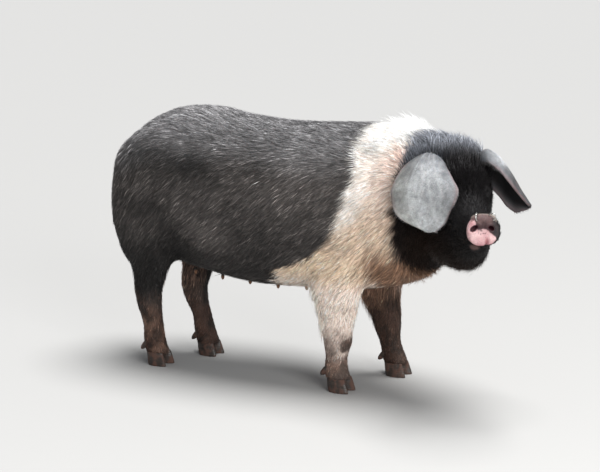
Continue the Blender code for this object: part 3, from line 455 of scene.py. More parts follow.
@dataclass(frozen=True)
class BodyForm:
    """Named sections of the trunk, neck, head, jaw and legs."""

    withers: float = 0.765
    rump_top: float = 0.784
    loin_top: float = 0.752
    belly: float = 0.272
    rear: float = -0.505
    half_width: float = 0.212
    coronet: float = 0.040
    front_feet: dict[str, tuple[float, float]] = field(
        default_factory=lambda: {"right": (0.270, -0.087), "left": (0.338, 0.141)})
    hind_feet: dict[str, tuple[float, float]] = field(
        default_factory=lambda: {"right": (-0.339, -0.112), "left": (-0.269, 0.059)})

    @staticmethod
    def middle(x: Array) -> Array:
        """Sideways place of the spine: the forehand stands a little to the left of the hips."""
        return 0.05 * np.asarray(x)

    @staticmethod
    def spine(rows: Array, rings: int, turns: int) -> Surface:
        """A loft along a spine whose rows are place, yaw, nod, half width, rise, drop and squareness."""
        rows = np.asarray(rows, float)
        steps = np.linalg.norm(np.diff(rows[:, :3], axis=0), axis=1)
        knots = np.concatenate([[0.0], np.cumsum(np.maximum(steps, 0.004))])
        rows = smooth_rows(knots, rows, np.linspace(0, knots[-1], rings))
        yaw, nod = rows[:, 3], rows[:, 4]
        side = np.stack([-np.sin(yaw), np.cos(yaw), np.zeros(rings)], 1)
        axis = np.stack([np.cos(yaw) * np.cos(nod), np.sin(yaw) * np.cos(nod), -np.sin(nod)], 1)
        return Surface.from_rings(ring_points(rows[:, :3], side, np.cross(axis, side), rows[:, 5:], turns))

    @staticmethod
    def limb(rows: Array, rings: int, turns: int) -> Surface:
        """A limb of level sections whose rows are place, half length, half width and squareness."""
        rows = np.asarray(rows, float)
        rows = smooth_rows(-rows[:, 2], rows, np.linspace(-rows[0, 2], -rows[-1, 2], rings))
        east, north = np.tile([1.0, 0, 0], (rings, 1)), np.tile([0, 1.0, 0], (rings, 1))
        sizes = rows[:, [3, 4, 4, 5]]
        return Surface.from_rings(ring_points(rows[:, :3], east, north, sizes, turns))

    def trunk(self) -> Surface:
        """The trunk from the tail root to the breast."""
        rows = [(0.000, 0.622, 0.570, 0.030), (0.010, 0.648, 0.520, 0.072), (0.035, 0.676, 0.455, 0.110),
                (0.075, self.rump_top - 0.080, 0.400, 0.142), (0.130, self.rump_top - 0.041, 0.350, 0.168),
                (0.205, self.rump_top - 0.010, 0.318, 0.186),
                (0.305, self.rump_top - 0.001, self.belly + 0.024, 0.197),
                (0.425, self.loin_top + 0.010, self.belly + 0.004, 0.207),
                (0.565, self.loin_top, self.belly, self.half_width),
                (0.675, self.loin_top + 0.003, self.belly + 0.006, self.half_width - 0.004),
                (0.785, self.withers - 0.004, self.belly + 0.014, 0.198),
                (0.885, self.withers, self.belly + 0.024, 0.182),
                (0.965, self.withers - 0.004, self.belly + 0.045, 0.155),
                (1.025, self.withers - 0.040, self.belly + 0.085, 0.115), (1.050, 0.66, 0.46, 0.050)]
        table = np.array(rows)
        x, top, bottom, width = table[:, 0] + self.rear, table[:, 1], table[:, 2], table[:, 3]
        centre = bottom + 0.52 * (top - bottom)
        zero = np.zeros(len(x))
        made = np.stack([x, self.middle(x), centre, zero, zero, width, top - centre, centre - bottom,
                         zero + 2.3], 1)
        return self.spine(made, 180, 128)

    def neck(self) -> Surface:
        """The neck, from inside the shoulders round its bend to the back of the head."""
        yaw, nod = HEAD.yaw, HEAD.nod
        return self.spine([
            (0.330, 0.012, 0.530, 0.0, 0.0, 0.165, 0.222, 0.215, 2.2),
            (0.430, 0.012, 0.535, yaw * 0.15, nod * 0.1, 0.166, 0.222, 0.212, 2.2),
            (0.520, 0.000, 0.548, yaw * 0.35, nod * 0.3, 0.154, 0.202, 0.196, 2.2),
            (0.590, -0.024, 0.562, yaw * 0.5, nod * 0.5, 0.128, 0.178, 0.168, 2.2),
            (0.612, -0.034, 0.566, yaw * 0.5, nod * 0.5, 0.060, 0.080, 0.070, 2.2)], 80, 96)

    @staticmethod
    def head_rows(rows: Array, tilts: Array) -> Array:
        """Spine rows from rows of the head: along, top, bottom, half width, squareness and level."""
        table = np.array(rows, float)
        middle = table[:, 2] + table[:, 5] * (table[:, 1] - table[:, 2])
        zero = np.zeros(len(table))
        place = HEAD.place(np.stack([table[:, 0], zero, middle], 1))
        return np.column_stack([place, zero + HEAD.yaw, HEAD.nod - np.asarray(tilts), table[:, 3],
                                table[:, 1] - middle, middle - table[:, 2], table[:, 4]])

    def head(self) -> Surface:
        """The head from the poll to the flared rim of the snout."""
        rows = [(-0.095, -0.060, -0.190, 0.050, 2.2, 0.4), (-0.078, 0.000, -0.265, 0.094, 2.2, 0.4),
                (-0.035, 0.020, -0.305, 0.110, 2.2, 0.4), (0.015, 0.018, -0.304, 0.101, 2.2, 0.4),
                (0.065, 0.007, -0.276, 0.087, 2.2, 0.4), (0.110, -0.004, -0.226, 0.072, 2.2, 0.4),
                (0.155, -0.016, -0.174, 0.060, 2.3, 0.4), (0.200, -0.020, -0.130, 0.052, 2.4, 0.5),
                (0.245, -0.014, -0.098, 0.049, 2.4, 0.5), (0.285, 0.003, -0.075, 0.044, 2.4, 0.5),
                (0.308, 0.020, -0.058, 0.041, 2.3, 0.5), (0.322, 0.031, -0.050, 0.045, 2.3, 0.5),
                (0.332, 0.032, -0.049, 0.044, 2.3, 0.5), (0.337, 0.026, -0.042, 0.037, 2.3, 0.5)]
        tilts = HEAD.disc_tilt * np.array([0, 0, 0, 0, 0, 0, 0, 0, 0.3, 0.6, 0.9, 1, 1, 1])
        return self.spine(self.head_rows(rows, tilts), 160, 112)

    def jaw(self) -> Surface:
        """The lower jaw from the throat to the lower lip."""
        rows = [(-0.010, -0.160, -0.290, 0.082), (0.030, -0.120, -0.310, 0.096),
                (0.090, -0.100, -0.300, 0.086), (0.150, -0.085, -0.268, 0.069),
                (0.205, -0.072, -0.230, 0.055), (0.250, -0.062, -0.180, 0.043),
                (0.285, -0.056, -0.136, 0.033), (0.308, -0.056, -0.098, 0.022),
                (0.315, -0.062, -0.082, 0.010)]
        table = np.column_stack([rows, np.full(len(rows), 2.3), np.full(len(rows), 0.5)])
        return self.spine(self.head_rows(table, np.zeros(len(rows))), 110, 80)

    def front_leg(self, side: str) -> Surface:
        """A front leg from the shoulder blade to the coronet."""
        (x, y), way = self.front_feet[side], SIDES[side]
        shoulder_x, shoulder_y = 0.310, 0.0155 + way * 0.118
        elbow_x, elbow_y = 0.280 + (x - 0.30) * 0.2, 0.014 + way * 0.118
        knee_x = 0.5 * (x + elbow_x) - 0.004
        return self.limb([
            (shoulder_x + 0.005, shoulder_y - way * 0.030, 0.660, 0.030, 0.020, 2.0),
            (shoulder_x + 0.005, shoulder_y - way * 0.010, 0.610, 0.085, 0.052, 2.0),
            (shoulder_x, shoulder_y, 0.500, 0.118, 0.078, 2.0),
            (shoulder_x - 0.005, shoulder_y + way * 0.002, 0.400, 0.112, 0.078, 2.0),
            (elbow_x, elbow_y, 0.310, 0.082, 0.060, 2.1),
            (elbow_x * 0.8 + knee_x * 0.2, elbow_y * 0.5 + y * 0.5, 0.240, 0.061, 0.046, 2.1),
            (knee_x, y, 0.170, 0.044, 0.037, 2.2),
            (knee_x * 0.9 + x * 0.1, y, 0.140, 0.040, 0.034, 2.2),
            (knee_x * 0.4 + x * 0.6 - 0.004, y, 0.095, 0.031, 0.029, 2.1),
            (x - 0.006, y, 0.065, 0.034, 0.032, 2.1),
            (x + 0.004, y, self.coronet - 0.006, 0.036, 0.034, 2.2)], 130, 64)

    def hind_leg(self, side: str) -> Surface:
        """A hind leg from the hip over the hock to the coronet."""
        (x, y), way = self.hind_feet[side], SIDES[side]
        hip_x, hip_y = -0.352, -0.0176 + way * 0.092
        stifle_y = -0.017 + way * 0.110
        hock_x = x * 0.78 - 0.107
        return self.limb([
            (hip_x + 0.010, hip_y - way * 0.020, 0.700, 0.050, 0.030, 2.0),
            (hip_x, hip_y, 0.640, 0.084, 0.046, 2.0),
            (hip_x - 0.004, hip_y + way * 0.008, 0.545, 0.122, 0.076, 2.1),
            (hip_x - 0.004, stifle_y - way * 0.012, 0.440, 0.128, 0.080, 2.1),
            (hip_x, stifle_y * 0.7 + y * 0.3, 0.360, 0.104, 0.062, 2.1),
            (hock_x + 0.014, stifle_y * 0.3 + y * 0.7, 0.290, 0.062, 0.041, 2.1),
            (hock_x + 0.002, y, 0.215, 0.044, 0.031, 2.2),
            (hock_x + 0.006, y, 0.180, 0.040, 0.029, 2.2),
            (hock_x * 0.4 + x * 0.6, y, 0.120, 0.031, 0.027, 2.1),
            (x - 0.008, y, 0.070, 0.034, 0.031, 2.1),
            (x + 0.004, y, self.coronet - 0.006, 0.036, 0.034, 2.2)], 130, 64)

    def lofts(self) -> list[Surface]:
        """Every loft of the body."""
        made = [self.trunk(), self.neck(), self.head(), self.jaw()]
        for side in SIDES:
            made += [self.front_leg(side), self.hind_leg(side)]
        return made


FORM = BodyForm()


# Lie of the coat and markings

def lie_of_coat(points: Array, normals: Array) -> Array:
    """Direction of the hair on the skin.

    Backward along the back, more and more downward on flank and haunch, level again on the belly, down
    the legs, and on the head from the snout back to the neck.

    Args:
        points: Places on the skin.
        normals: Which way the skin faces there.

    Returns:
        A unit vector along the skin for each place.
    """
    x, _, z = points.T
    side_on = step(0.74, 0.60, z) * step(0.27, 0.36, z)
    fall = 0.10 + 0.85 * side_on + 1.1 * step(-0.22, -0.46, x) * step(0.76, 0.66, z)
    on_leg = step(0.36, 0.27, z) * np.maximum(step(0.10, 0.17, x), step(-0.20, -0.27, x))
    wobble = noise(points, 7.0, 3) * 0.25 + noise(points, 22.0, 4) * 0.16
    body = np.stack([-np.ones(len(x)), wobble * 0.5, -fall + wobble], 1)
    leg = np.stack([np.full(len(x), -0.28) + wobble, wobble, np.full(len(x), -1.0)], 1)
    wanted = mix(body, leg, on_leg)
    local = HEAD.local(points)
    back = -HEAD.axes()[0]
    jowl = step(0.02, -0.16, local[:, 2])
    face = back + np.stack([wobble, wobble, -0.9 * jowl + wobble], 1)
    wanted = mix(wanted, face, step(-0.16, 0.0, local[:, 0]) * step(0.42, 0.50, x))
    return flattened(wanted, normals)


@dataclass(frozen=True)
class Tints:
    """Colours of hair, skin and dirt, and of painted sheen and shade on hair and ears, as linear red, green
    and blue.
    """

    slate_hair: Triple = (0.053, 0.047, 0.044)
    # Painted sheen: the black hair made lighter along the top of the back
    dusty_hair: Triple = (0.235, 0.230, 0.235)
    # Painted sheen: bluish grey of the lit top of the nape
    nape_hair: Triple = (0.215, 0.230, 0.262)
    face_hair: Triple = (0.0050, 0.0042, 0.0045)
    brown_hair: Triple = (0.060, 0.036, 0.024)
    white_hair: Triple = (0.97, 0.93, 0.86)
    tan_hair: Triple = (0.66, 0.515, 0.395)
    sand_hair: Triple = (0.84, 0.655, 0.49)
    leg_hair: Triple = (0.97, 0.81, 0.71)
    pink_skin: Triple = (0.64, 0.43, 0.36)
    mud: Triple = (0.080, 0.040, 0.028)
    dry_mud: Triple = (0.260, 0.155, 0.110)
    wet_mud: Triple = (0.020, 0.012, 0.009)
    bare_brown: Triple = (0.195, 0.093, 0.048)
    inner_pink: Triple = (0.27, 0.17, 0.13)
    ear_grey: Triple = (0.190, 0.193, 0.200)
    ear_light: Triple = (0.51, 0.525, 0.535)
    # Inside of the ears: dark hair and painted shade
    ear_inside: Triple = (0.018, 0.016, 0.018)
    snout_pink: Triple = (0.50, 0.285, 0.295)
    snout_light: Triple = (0.70, 0.50, 0.49)
    snout_raw: Triple = (0.36, 0.13, 0.15)
    snout_brown: Triple = (0.072, 0.040, 0.038)
    snout_dark: Triple = (0.026, 0.011, 0.013)
    snout_black: Triple = (0.010, 0.009, 0.010)
    snout_fold: Triple = (0.27, 0.225, 0.19)
    lip_mauve: Triple = (0.135, 0.075, 0.066)
    # Inside the nostrils: painted shade over a red lining
    nostril: Triple = (0.060, 0.018, 0.026)


TINTS = Tints()


# Where the thigh meets the flank: places along the fold on the left side, from the top down; the fold is
# sculpted and shade is painted along it
THIGH_FOLD = np.array([(-0.290, 0.17, 0.545), (-0.262, 0.19, 0.495), (-0.230, 0.19, 0.440),
                       (-0.190, 0.18, 0.375), (-0.172, 0.16, 0.330)])
# The hollow under the hip, on the right side, from rear to front, along which shade is painted on the coat
UNDER_HIP_SHADE = np.array([(-0.42, -0.15, 0.665), (-0.30, -0.18, 0.655), (-0.20, -0.19, 0.640),
                      (-0.09, -0.20, 0.615)])


def read_off(table: Sequence, at: Array) -> Array:
    """Values read off a table, whose rows hold a rising place and the value there."""
    places, values = np.array(table).T
    return np.interp(at, places, values)


class Markings:
    """Where the belt, the dirt, the painted light and shade of the coat and the dark and pink of the snout
    lie, as functions of place.
    """

    # Height and then x of the belt's rear edge: steep on the shoulder, far back along the belly
    belt_rear = ((0.26, 0.062), (0.315, 0.092), (0.354, 0.121), (0.376, 0.183), (0.419, 0.246),
                 (0.464, 0.293), (0.522, 0.317), (0.614, 0.345), (0.713, 0.350), (0.742, 0.342),
                 (0.764, 0.346), (0.80, 0.352))
    # Soft spots of painted shade and painted light on the black coat, on both sides: centre, radii, and share
    # added
    spots = (((-0.318, -0.17, 0.505), (0.042, 0.09, 0.042), -0.50),
             ((-0.155, -0.19, 0.636), (0.048, 0.09, 0.020), -0.50),
             ((-0.225, -0.15, 0.360), (0.050, 0.12, 0.070), -0.70),
             ((-0.160, -0.19, 0.500), (0.120, 0.20, 0.090), 0.40),
             ((-0.085, -0.19, 0.425), (0.070, 0.20, 0.050), 1.50),
             ((-0.345, -0.19, 0.410), (0.070, 0.20, 0.070), 0.75),
             ((-0.345, -0.19, 0.560), (0.060, 0.20, 0.040), 0.60),
             ((0.220, -0.19, 0.620), (0.090, 0.20, 0.080), 0.42))
    # Pink skin that shows through the belt beside the neck, in the same terms
    pink_spots = (((0.44, -0.16, 0.63), (0.05, 0.1, 0.09), 0.45),
                  ((0.472, -0.115, 0.692), (0.028, 0.05, 0.045), 0.75))
    # The line between the dark and the pink of the disc, left and up on it
    dark_line = ((-0.050, 0.020), (-0.040, 0.027), (-0.028, 0.0315), (-0.0245, 0.030), (-0.0215, 0.012),
                 (-0.018, 0.007), (-0.004, 0.010), (0.003, 0.010), (0.009, 0.006), (0.015, -0.001),
                 (0.022, -0.006), (0.029, -0.010), (0.0315, -0.026), (0.045, -0.040))
    # Middles of the two painted highlights on the lobes of the disc, left and up on it
    lobes = ((-0.030, -0.012), (0.021, -0.013))
    neck_way = (0.94, -0.34)
    # Height and then the place of the front edge along neck_way
    neck_edge = ((0.36, 0.48928), (0.40, 0.46628), (0.44, 0.46328), (0.50, 0.47328), (0.56, 0.48928),
                 (0.66, 0.49228), (0.69, 0.49328), (0.712, 0.48328), (0.735, 0.46728), (0.757, 0.44728),
                 (0.770, 0.43528))

    def belt(self, points: Array) -> Array:
        """Share of belt: in front of its ragged rear edge and behind its edge on the neck."""
        x, _, z = points.T
        ragged = 0.010 * noise(points, (9.0, 30.0, 42.0), 11) + 0.007 * noise(points, (24.0, 90.0, 110.0), 12)
        low = 1 + 2.2 * step(0.46, 0.36, z)
        rear = step(-0.010, 0.010, x + low * ragged - read_off(self.belt_rear, z))
        front = step(0.012, -0.012, self.along_neck(points) + 1.2 * ragged - read_off(self.neck_edge, z))
        return rear * front

    @classmethod
    def along_neck(cls, points: Array) -> Array:
        """How far forward each place lies along the neck, which bends to the right."""
        return points[:, 0] * cls.neck_way[0] + points[:, 1] * cls.neck_way[1]

    def mud(self, points: Array) -> Array:
        """Share of dried mud: it thickens down each leg, and lies highest on the left foreleg."""
        x, y, high = points.T
        far_fore = (x > 0.16) * step(0.02, 0.06, y)
        near_fore = (x > 0.16) * step(0.06, 0.02, y)
        z = high + noise(points, 17.0, 21) * 0.040 + noise(points, 60.0, 22) * 0.022
        shift = 0.050 * far_fore - 0.030 * near_fore
        patch = apart(points, (0.312, -0.092, 0.142), (0.03, 0.04, 0.022))
        patch = patch + 0.7 * noise(points, 48.0, 23)
        return np.maximum(step(0.235, 0.125, z - shift), near_fore * step(1.4, 0.7, patch))

    @staticmethod
    def mud_colour(points: Array) -> Array:
        """Dried mud with wet dark splashes, darkest on the right knee; the legs of the left side are darker,
        partly wet mud and partly painted shade of the body.
        """
        # Painted shade on the far, left side: less dry mud and more of the wet dark
        far = step(0.01, 0.05, points[:, 1])
        colour = mix(TINTS.mud, TINTS.dry_mud, step(-0.2, 1.0, noise(points, 30.0, 34)) * (1 - 0.8 * far))
        knee = bell(apart(points, (0.315, -0.095, 0.142), 0.022))
        wet = step(0.05, 0.60, noise(points, 40.0, 24) + 0.6 * noise(points, 120.0, 25) + 0.9 * knee)
        return mix(colour, TINTS.wet_mud, np.clip(0.75 * wet + 0.60 * far, 0, 1))

    @staticmethod
    def inner_hind(points: Array) -> Array:
        """Share of thin brownish hair on the inner sides of the hind legs."""
        x, y, z = points.T
        share = np.zeros(len(points))
        for side, (_, foot_y) in FORM.hind_feet.items():
            inward = (foot_y - y) * SIDES[side]
            share = np.maximum(share, step(0.004, 0.022, inward) * (np.abs(foot_y - y) < 0.08))
        return share * step(0.36, 0.30, z) * step(-0.20, -0.24, x)

    @staticmethod
    def tone(points: Array) -> Array:
        """Slow change of brightness over the coat."""
        return 1.0 + 0.16 * noise(points, 6.0, 31) + 0.10 * noise(points, 19.0, 32)

    def black(self, points: Array) -> Array:
        """Slate coat, black on the face, with painted light and shade: a painted sheen along the back and on
        the nape, painted shade under the hip, in the thigh fold and low down, and soft painted spots of light
        and shade.
        """
        x, y, z = points.T
        local = HEAD.local(points)
        head = step(0.44, 0.52, x - 0.36 * y)
        # Painted sheen of the light from above along the top of the back, reaching lower on the rump
        waved = z + 0.03 * noise(points, 5.0, 35)
        waved = waved + 0.055 * step(-0.28, -0.42, x)
        back_sheen = 0.85 * step(0.60, 0.76, waved) * step(0.40, 0.30, x)
        black = mix(TINTS.slate_hair, TINTS.dusty_hair, back_sheen)
        mirrored = np.column_stack([x, -np.abs(y), z])
        # Painted shade along the hollow under the hip
        under_hip_shade = bell(distance_to_path(mirrored, UNDER_HIP_SHADE) / 0.040)
        # Painted shade in the crease where the thigh meets the flank, and over the thigh behind it
        stifle_shade = bell(distance_to_path(mirrored, THIGH_FOLD * (1, -1, 1)) / 0.015)
        thigh_shade = step(0.012, -0.012, x - read_off(THIGH_FOLD[::-1, [2, 0]], z)) * step(0.56, 0.50, z)
        # Painted shade low on the flank and belly, and on the upper hind leg
        low = step(0.52, 0.36, z) * step(0.2, 0.1, x)
        low = low + 0.7 * step(0.42, 0.36, z) * step(0.20, 0.26, z) * step(-0.22, -0.26, x)
        shade = (1 - 0.45 * under_hip_shade) * (1 - 0.42 * low) * (1 - 0.50 * stifle_shade) * (1 - 0.12 * thigh_shade)
        # Painted shade and painted light in soft spots, both sides alike
        for centre, radii, share in self.spots:
            shade = shade * (1 + share * bell(apart(mirrored, centre, radii)))
        # Painted shade on the top of the loin, and painted light in a band at mid height forward of the hips
        shade = shade * (1 - 0.22 * step(-0.24, -0.05, x) * step(0.69, 0.735, z))
        black = black * (shade * (1 + 0.5 * bell((z - 0.56) / 0.07) * step(-0.2, 0.0, x)))[:, None]
        black = mix(black, TINTS.face_hair, head)
        # Painted sheen on the top of the head behind the ears
        crown = step(0.62, 0.70, z) * head * step(0.05, -0.03, local[:, 0])
        black = mix(black, TINTS.nape_hair, 0.50 * crown)
        beard = step(-0.10, -0.24, local[:, 2]) * step(0.02, 0.10, local[:, 0]) * step(0.42, 0.52, x)
        return mix(black, TINTS.brown_hair, 0.35 * beard)

    def pale(self, points: Array) -> Array:
        """Belt: white over the withers, tan low down, pinkish on neck and legs, brown under the throat and on
        the upper left foreleg, partly painted shade under the neck and under the body.
        """
        x, y, z = points.T
        behind = step(0.080, 0.020, x - read_off(self.belt_rear, z))
        soft = z + 0.03 * noise(points, 12.0, 33) + 0.115 * behind * step(0.42, 0.52, z)
        pale = mix(TINTS.white_hair, TINTS.tan_hair, step(0.72, 0.50, soft))
        pale = mix(pale, TINTS.sand_hair, step(0.47, 0.38, soft))
        for centre, radii, share in self.pink_spots:
            pale = mix(pale, TINTS.pink_skin, share * bell(apart(points, centre, radii)))
        pale = mix(pale, TINTS.leg_hair, step(0.36, 0.30, z))
        pale = mix(pale, TINTS.tan_hair, 0.5 * step(0.33, 0.29, z) * step(0.22, 0.12, x))
        # Brown hair under the throat, partly painted shade under the neck
        throat = step(0.46, 0.38, soft) * step(0.345, 0.41, x)
        pale = mix(pale, TINTS.bare_brown, 0.90 * throat)
        # Painted shade on the upper left foreleg, under the body, with its front edge left lighter as lit
        far_leg_shade = step(0.38, 0.29, z) * step(0.01, 0.06, y) * (x > 0.16)
        front = step(0.345, 0.375, x + 0.006 * noise(points, 40.0, 38))
        return mix(pale, TINTS.bare_brown, 0.92 * far_leg_shade * (1 - 0.6 * front))

    def coat(self, points: Array) -> Array:
        """Colour of the hair that grows at each place."""
        belt = self.belt(points)
        hair = mix(self.black(points), self.pale(points), belt)
        hair = mix(hair, TINTS.inner_pink, 0.75 * self.inner_hind(points))
        hair = mix(hair, self.mud_colour(points), 0.94 * self.mud(points))
        return hair * (1 + (self.tone(points) - 1) * (1 - 0.7 * belt))[:, None]

    def skin(self, points: Array) -> Array:
        """Colour of the skin under the hair, and of the bare snout."""
        belt = self.belt(points)
        bare = mix(self.black(points), TINTS.pink_skin, belt)
        low = step(0.56, 0.42, points[:, 2])
        bare = mix(bare, self.coat(points), (0.62 + 0.34 * low) * step(0.0, 0.3, belt))
        bare = mix(bare, 0.8 * self.coat(points), 0.96 * self.mud(points))
        out = HEAD.disc_local(points)[:, 0]
        pale_fold = step(-0.030, -0.014, out) * np.clip(0.62 + 0.5 * noise(points, 55.0, 46), 0, 1)
        fold = mix(TINTS.snout_dark, TINTS.snout_fold, pale_fold)
        bare = mix(bare, fold, self.bridge(points))
        return mix(bare, self.snout(points), self.on_snout(points))

    @staticmethod
    def nape(points: Array, up: Array) -> Array:
        """Share of nape, where the crest stands: the top of the neck and of the back of the head."""
        local = HEAD.local(points)
        inside = np.maximum(step(0.090, 0.050, np.abs(local[:, 1])), step(-0.05, -0.09, local[:, 0]))
        ahead = step(0.40, 0.47, points[:, 0] - 0.36 * points[:, 1]) * step(0.10, 0.04, local[:, 0])
        return ahead * step(0.50, 0.85, up) * inside

    @staticmethod
    def bridge(points: Array) -> Array:
        """Share of bare folded skin on the bridge, just behind the upper rim of the snout disc."""
        out, across, up = HEAD.disc_local(points).T
        ragged = 0.006 * noise(points, 60.0, 47)
        behind = step(-0.046, -0.034, out + ragged) * step(0.024, 0.032, up + ragged)
        return behind * step(0.044, 0.034, np.abs(across + 0.006)) * ahead_of_trunk(points)

    @staticmethod
    def on_snout(points: Array) -> Array:
        """Share of bare snout skin: an uneven round on the disc, and the front of the lower lip."""
        out, across, up = HEAD.disc_local(points).T
        wavy = 0.05 * noise(points, 70.0, 41) + 0.03 * noise(points, 180.0, 44)
        round_edge = np.hypot((across + 0.005) / 0.0415, (up - 0.004) / 0.0405) + wavy
        disc = step(-0.024, -0.012, out) * step(1.08, 0.96, round_edge)
        lip = np.hypot((across + 0.011) / 0.013, (up + 0.051) / 0.011) + 5.0 * wavy
        lips = step(-0.090, -0.070, out) * step(1.15, 0.55, lip)
        return np.maximum(disc, 0.6 * lips) * ahead_of_trunk(points)

    def snout(self, points: Array) -> Array:
        """Pink snout with painted highlights on its two lobes, dark above an uneven line that dips round the
        nostrils, speckled below it.
        """
        _, across, up = HEAD.disc_local(points).T
        line = read_off(self.dark_line, across)
        speck = noise(points, 130.0, 42) + 0.6 * noise(points, 330.0, 43)
        dark = step(-0.0020, 0.0030, up - line + 0.0022 * speck)
        middle = bell((across + 0.006) / 0.016, (up - 0.001) / 0.010)
        spots = step(0.75 - 0.55 * middle, 1.0 - 0.45 * middle, noise(points, 420.0, 48) + 0.4 * speck)
        browner = step(0.012, 0.030, up) * np.clip(0.8 + 0.4 * speck, 0, 1)
        top = mix(TINTS.snout_dark, TINTS.snout_brown, browner)
        top = mix(top, TINTS.snout_black, step(0.014, 0.026, across))
        # Painted highlights on the two lobes, over a lighter and darker mottle of the pink
        lobes = sum(bell((across - left) / 0.012, (up - rise) / 0.012) for left, rise in self.lobes)
        light = np.clip(0.25 + 0.6 * lobes + 0.45 * noise(points, 75.0, 45), 0, 1)
        pink = mix(TINTS.snout_pink, TINTS.snout_light, light)
        raw = np.maximum(0.75 * step(0.010, 0.002, np.abs(across - 0.008)) * step(-0.004, -0.024, up),
                         0.55 * bell((across + 0.034) / 0.006, (up - 0.022) / 0.009))
        pink = mix(pink, TINTS.snout_raw, np.maximum(raw, 0.7 * step(-0.024, -0.036, up)))
        pink = mix(pink, TINTS.lip_mauve, step(-0.036, -0.044, up))
        return mix(pink, top, np.clip(np.maximum(0.97 * dark, 0.75 * spots), 0, 1))


MARKS = Markings()


def to_frame(points: Array) -> Array:
    """The frame's coordinates of places of the pig."""
    return points + PIG_ORIGIN


def node_box(node: str) -> tuple[Array, Array]:
    """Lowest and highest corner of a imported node, in the pig's own coordinates."""
    low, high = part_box(node)
    return np.array(low) - PIG_ORIGIN, np.array(high) - PIG_ORIGIN


def ellipsoid(centre: Array, axes: Array, radii: Array, rings: int = 18, turns: int = 28) -> Surface:
    """A closed ellipsoid: circles of latitude between two poles along the first axis.

    Args:
        centre: Its middle.
        axes: Three unit rows, square to one another.
        radii: Half length along each axis.
        rings: Circles between the poles.
        turns: Points round a circle.

    Returns:
        The closed surface.
    """
    latitude = np.linspace(0, np.pi, rings + 2)[1:-1, None]
    turn = np.linspace(0, 2 * np.pi, turns, endpoint=False)[None, :]
    local = np.stack([np.cos(latitude) + 0 * turn, np.sin(latitude) * np.cos(turn),
                      np.sin(latitude) * np.sin(turn)], -1) * np.asarray(radii)
    made = Surface.from_rings(local @ np.asarray(axes) + centre)
    for pole, way in ((-2, 1), (-1, -1)):
        made.points[pole] = centre + way * radii[0] * np.asarray(axes)[0]
    return made


def tube(route: Array, radii: Array, turns: int, looped: bool = False,
         across: Sequence[float] = (0.0, 1.0, 0.0)) -> Surface:
    """A tube along a route: a circle at each point, square to the route there.

    Args:
        route: Points of the middle line.
        radii: Radius at each point.
        turns: Points round the tube.
        looped: The route closes on itself.
        across: A direction that is never along the route.

    Returns:
        The closed tube.
    """
    if looped:
        tangent = np.roll(route, -1, axis=0) - np.roll(route, 1, axis=0)
    else:
        tangent = np.gradient(route, axis=0)
    tangent = unit(tangent)
    side = unit(np.cross(tangent, across))
    other = np.cross(tangent, side)
    turn = np.linspace(0, 2 * np.pi, turns, endpoint=False)[None, :, None]
    circle = side[:, None] * np.cos(turn) + other[:, None] * np.sin(turn)
    return Surface.from_rings(route[:, None] + circle * np.asarray(radii)[:, None, None], looped)


# Ears

@dataclass(frozen=True)
class Ear:
    """A lop ear: a thin sheet arched across, thick at its root, veined outside and thin at the rim.

    Each station is the rear edge, the crown of the arch and the front edge, in the head's frame.
    """

    side: str
    stations: tuple
    crown_at: float
    thick: float = 0.008
    lengthwise: int = 96
    across: int = 49

    def relief(self, s: Array, t: Array) -> Array:
        """Height of the veins: ridges that fan out from the root and thin towards the rim."""
        height = np.zeros(np.broadcast(s, t).shape)
        for start, reach, bend, thin in self.veins():
            line = start + (reach - start) * s + 0.07 * np.sin(5.5 * s + bend)
            height += bell((t - line) / thin) * (1 - s) * 0.0013
            fork = line + 0.5 * np.maximum(s - 0.38, 0) * np.cos(bend)
            height += bell((t - fork) / 0.028) * step(0.36, 0.45, s) * (1 - s) * 0.0010
        return height

    @staticmethod
    def veins() -> tuple:
        """Place across the ear where each vein starts and ends, its bend and its width."""
        return ((-0.10, -0.75, 2.0, 0.035), (0.0, -0.28, 1.0, 0.040), (0.05, 0.22, 3.1, 0.035),
                (0.14, 0.72, 0.4, 0.030))

    def surface(self) -> Surface:
        """A quadratic across through rear edge, crown and front edge, given a wall of its own thickness.

        The sheet carries 1 to 2 from root to tip with the side's sign, then -1 in front to 1 behind, then 1
        outside and -1 inside.
        """
        s = np.linspace(0.0, 1.0, self.lengthwise)[:, None]
        t = np.linspace(-1.0, 1.0, self.across)[None, :]
        knots = np.arange(len(self.stations))
        rear, crown, front = (smooth_rows(knots, [station[place] for station in self.stations],
                                          s[:, 0] * knots[-1])[:, None] for place in range(3))
        u, c = t[..., None], self.crown_at
        sheet = ((u - c) * (u - 1) / ((-1 - c) * -2) * front
                 + (u + 1) * (u - 1) / ((c + 1) * (c - 1)) * crown
                 + (u + 1) * (u - c) / (2 * (1 - c)) * rear)
        normal = unit(np.cross(np.gradient(sheet, axis=0), np.gradient(sheet, axis=1)))
        bulge = sheet[:, self.across // 2] - 0.5 * (sheet[:, 0] + sheet[:, -1])
        if np.einsum("ij,ij->", bulge, normal[:, self.across // 2]) < 0:
            normal = -normal
        flat = sheet.reshape(-1, 3)
        wave = (0.0022 * noise(flat, 14.0, 51) + 0.0007 * noise(flat, 55.0, 52)).reshape(sheet.shape[:2])
        curl = -0.004 * np.abs(t) ** 8 * step(0.15, 0.5, s)
        sheet = sheet + normal * (wave * step(0.05, 0.3, s) + curl)[..., None]
        wall = self.thick * (1 - 0.45 * s) * (1 - 0.55 * t ** 4) / 2
        outer = sheet + normal * (wall + self.relief(s, t))[..., None]
        inner = sheet - normal * wall[..., None]
        rings = np.concatenate([outer, inner[:, ::-1]], axis=1)
        way = SIDES[self.side] * (1.0 + s + 0 * t)
        face = np.ones(sheet.shape[:2])
        carried = np.concatenate([np.stack([way, 0 * s + t, face], -1),
                                  np.stack([way, 0 * s + t[:, ::-1], -face], -1)], axis=1)
        return Surface.from_rings(HEAD.place(rings), sheet=carried)


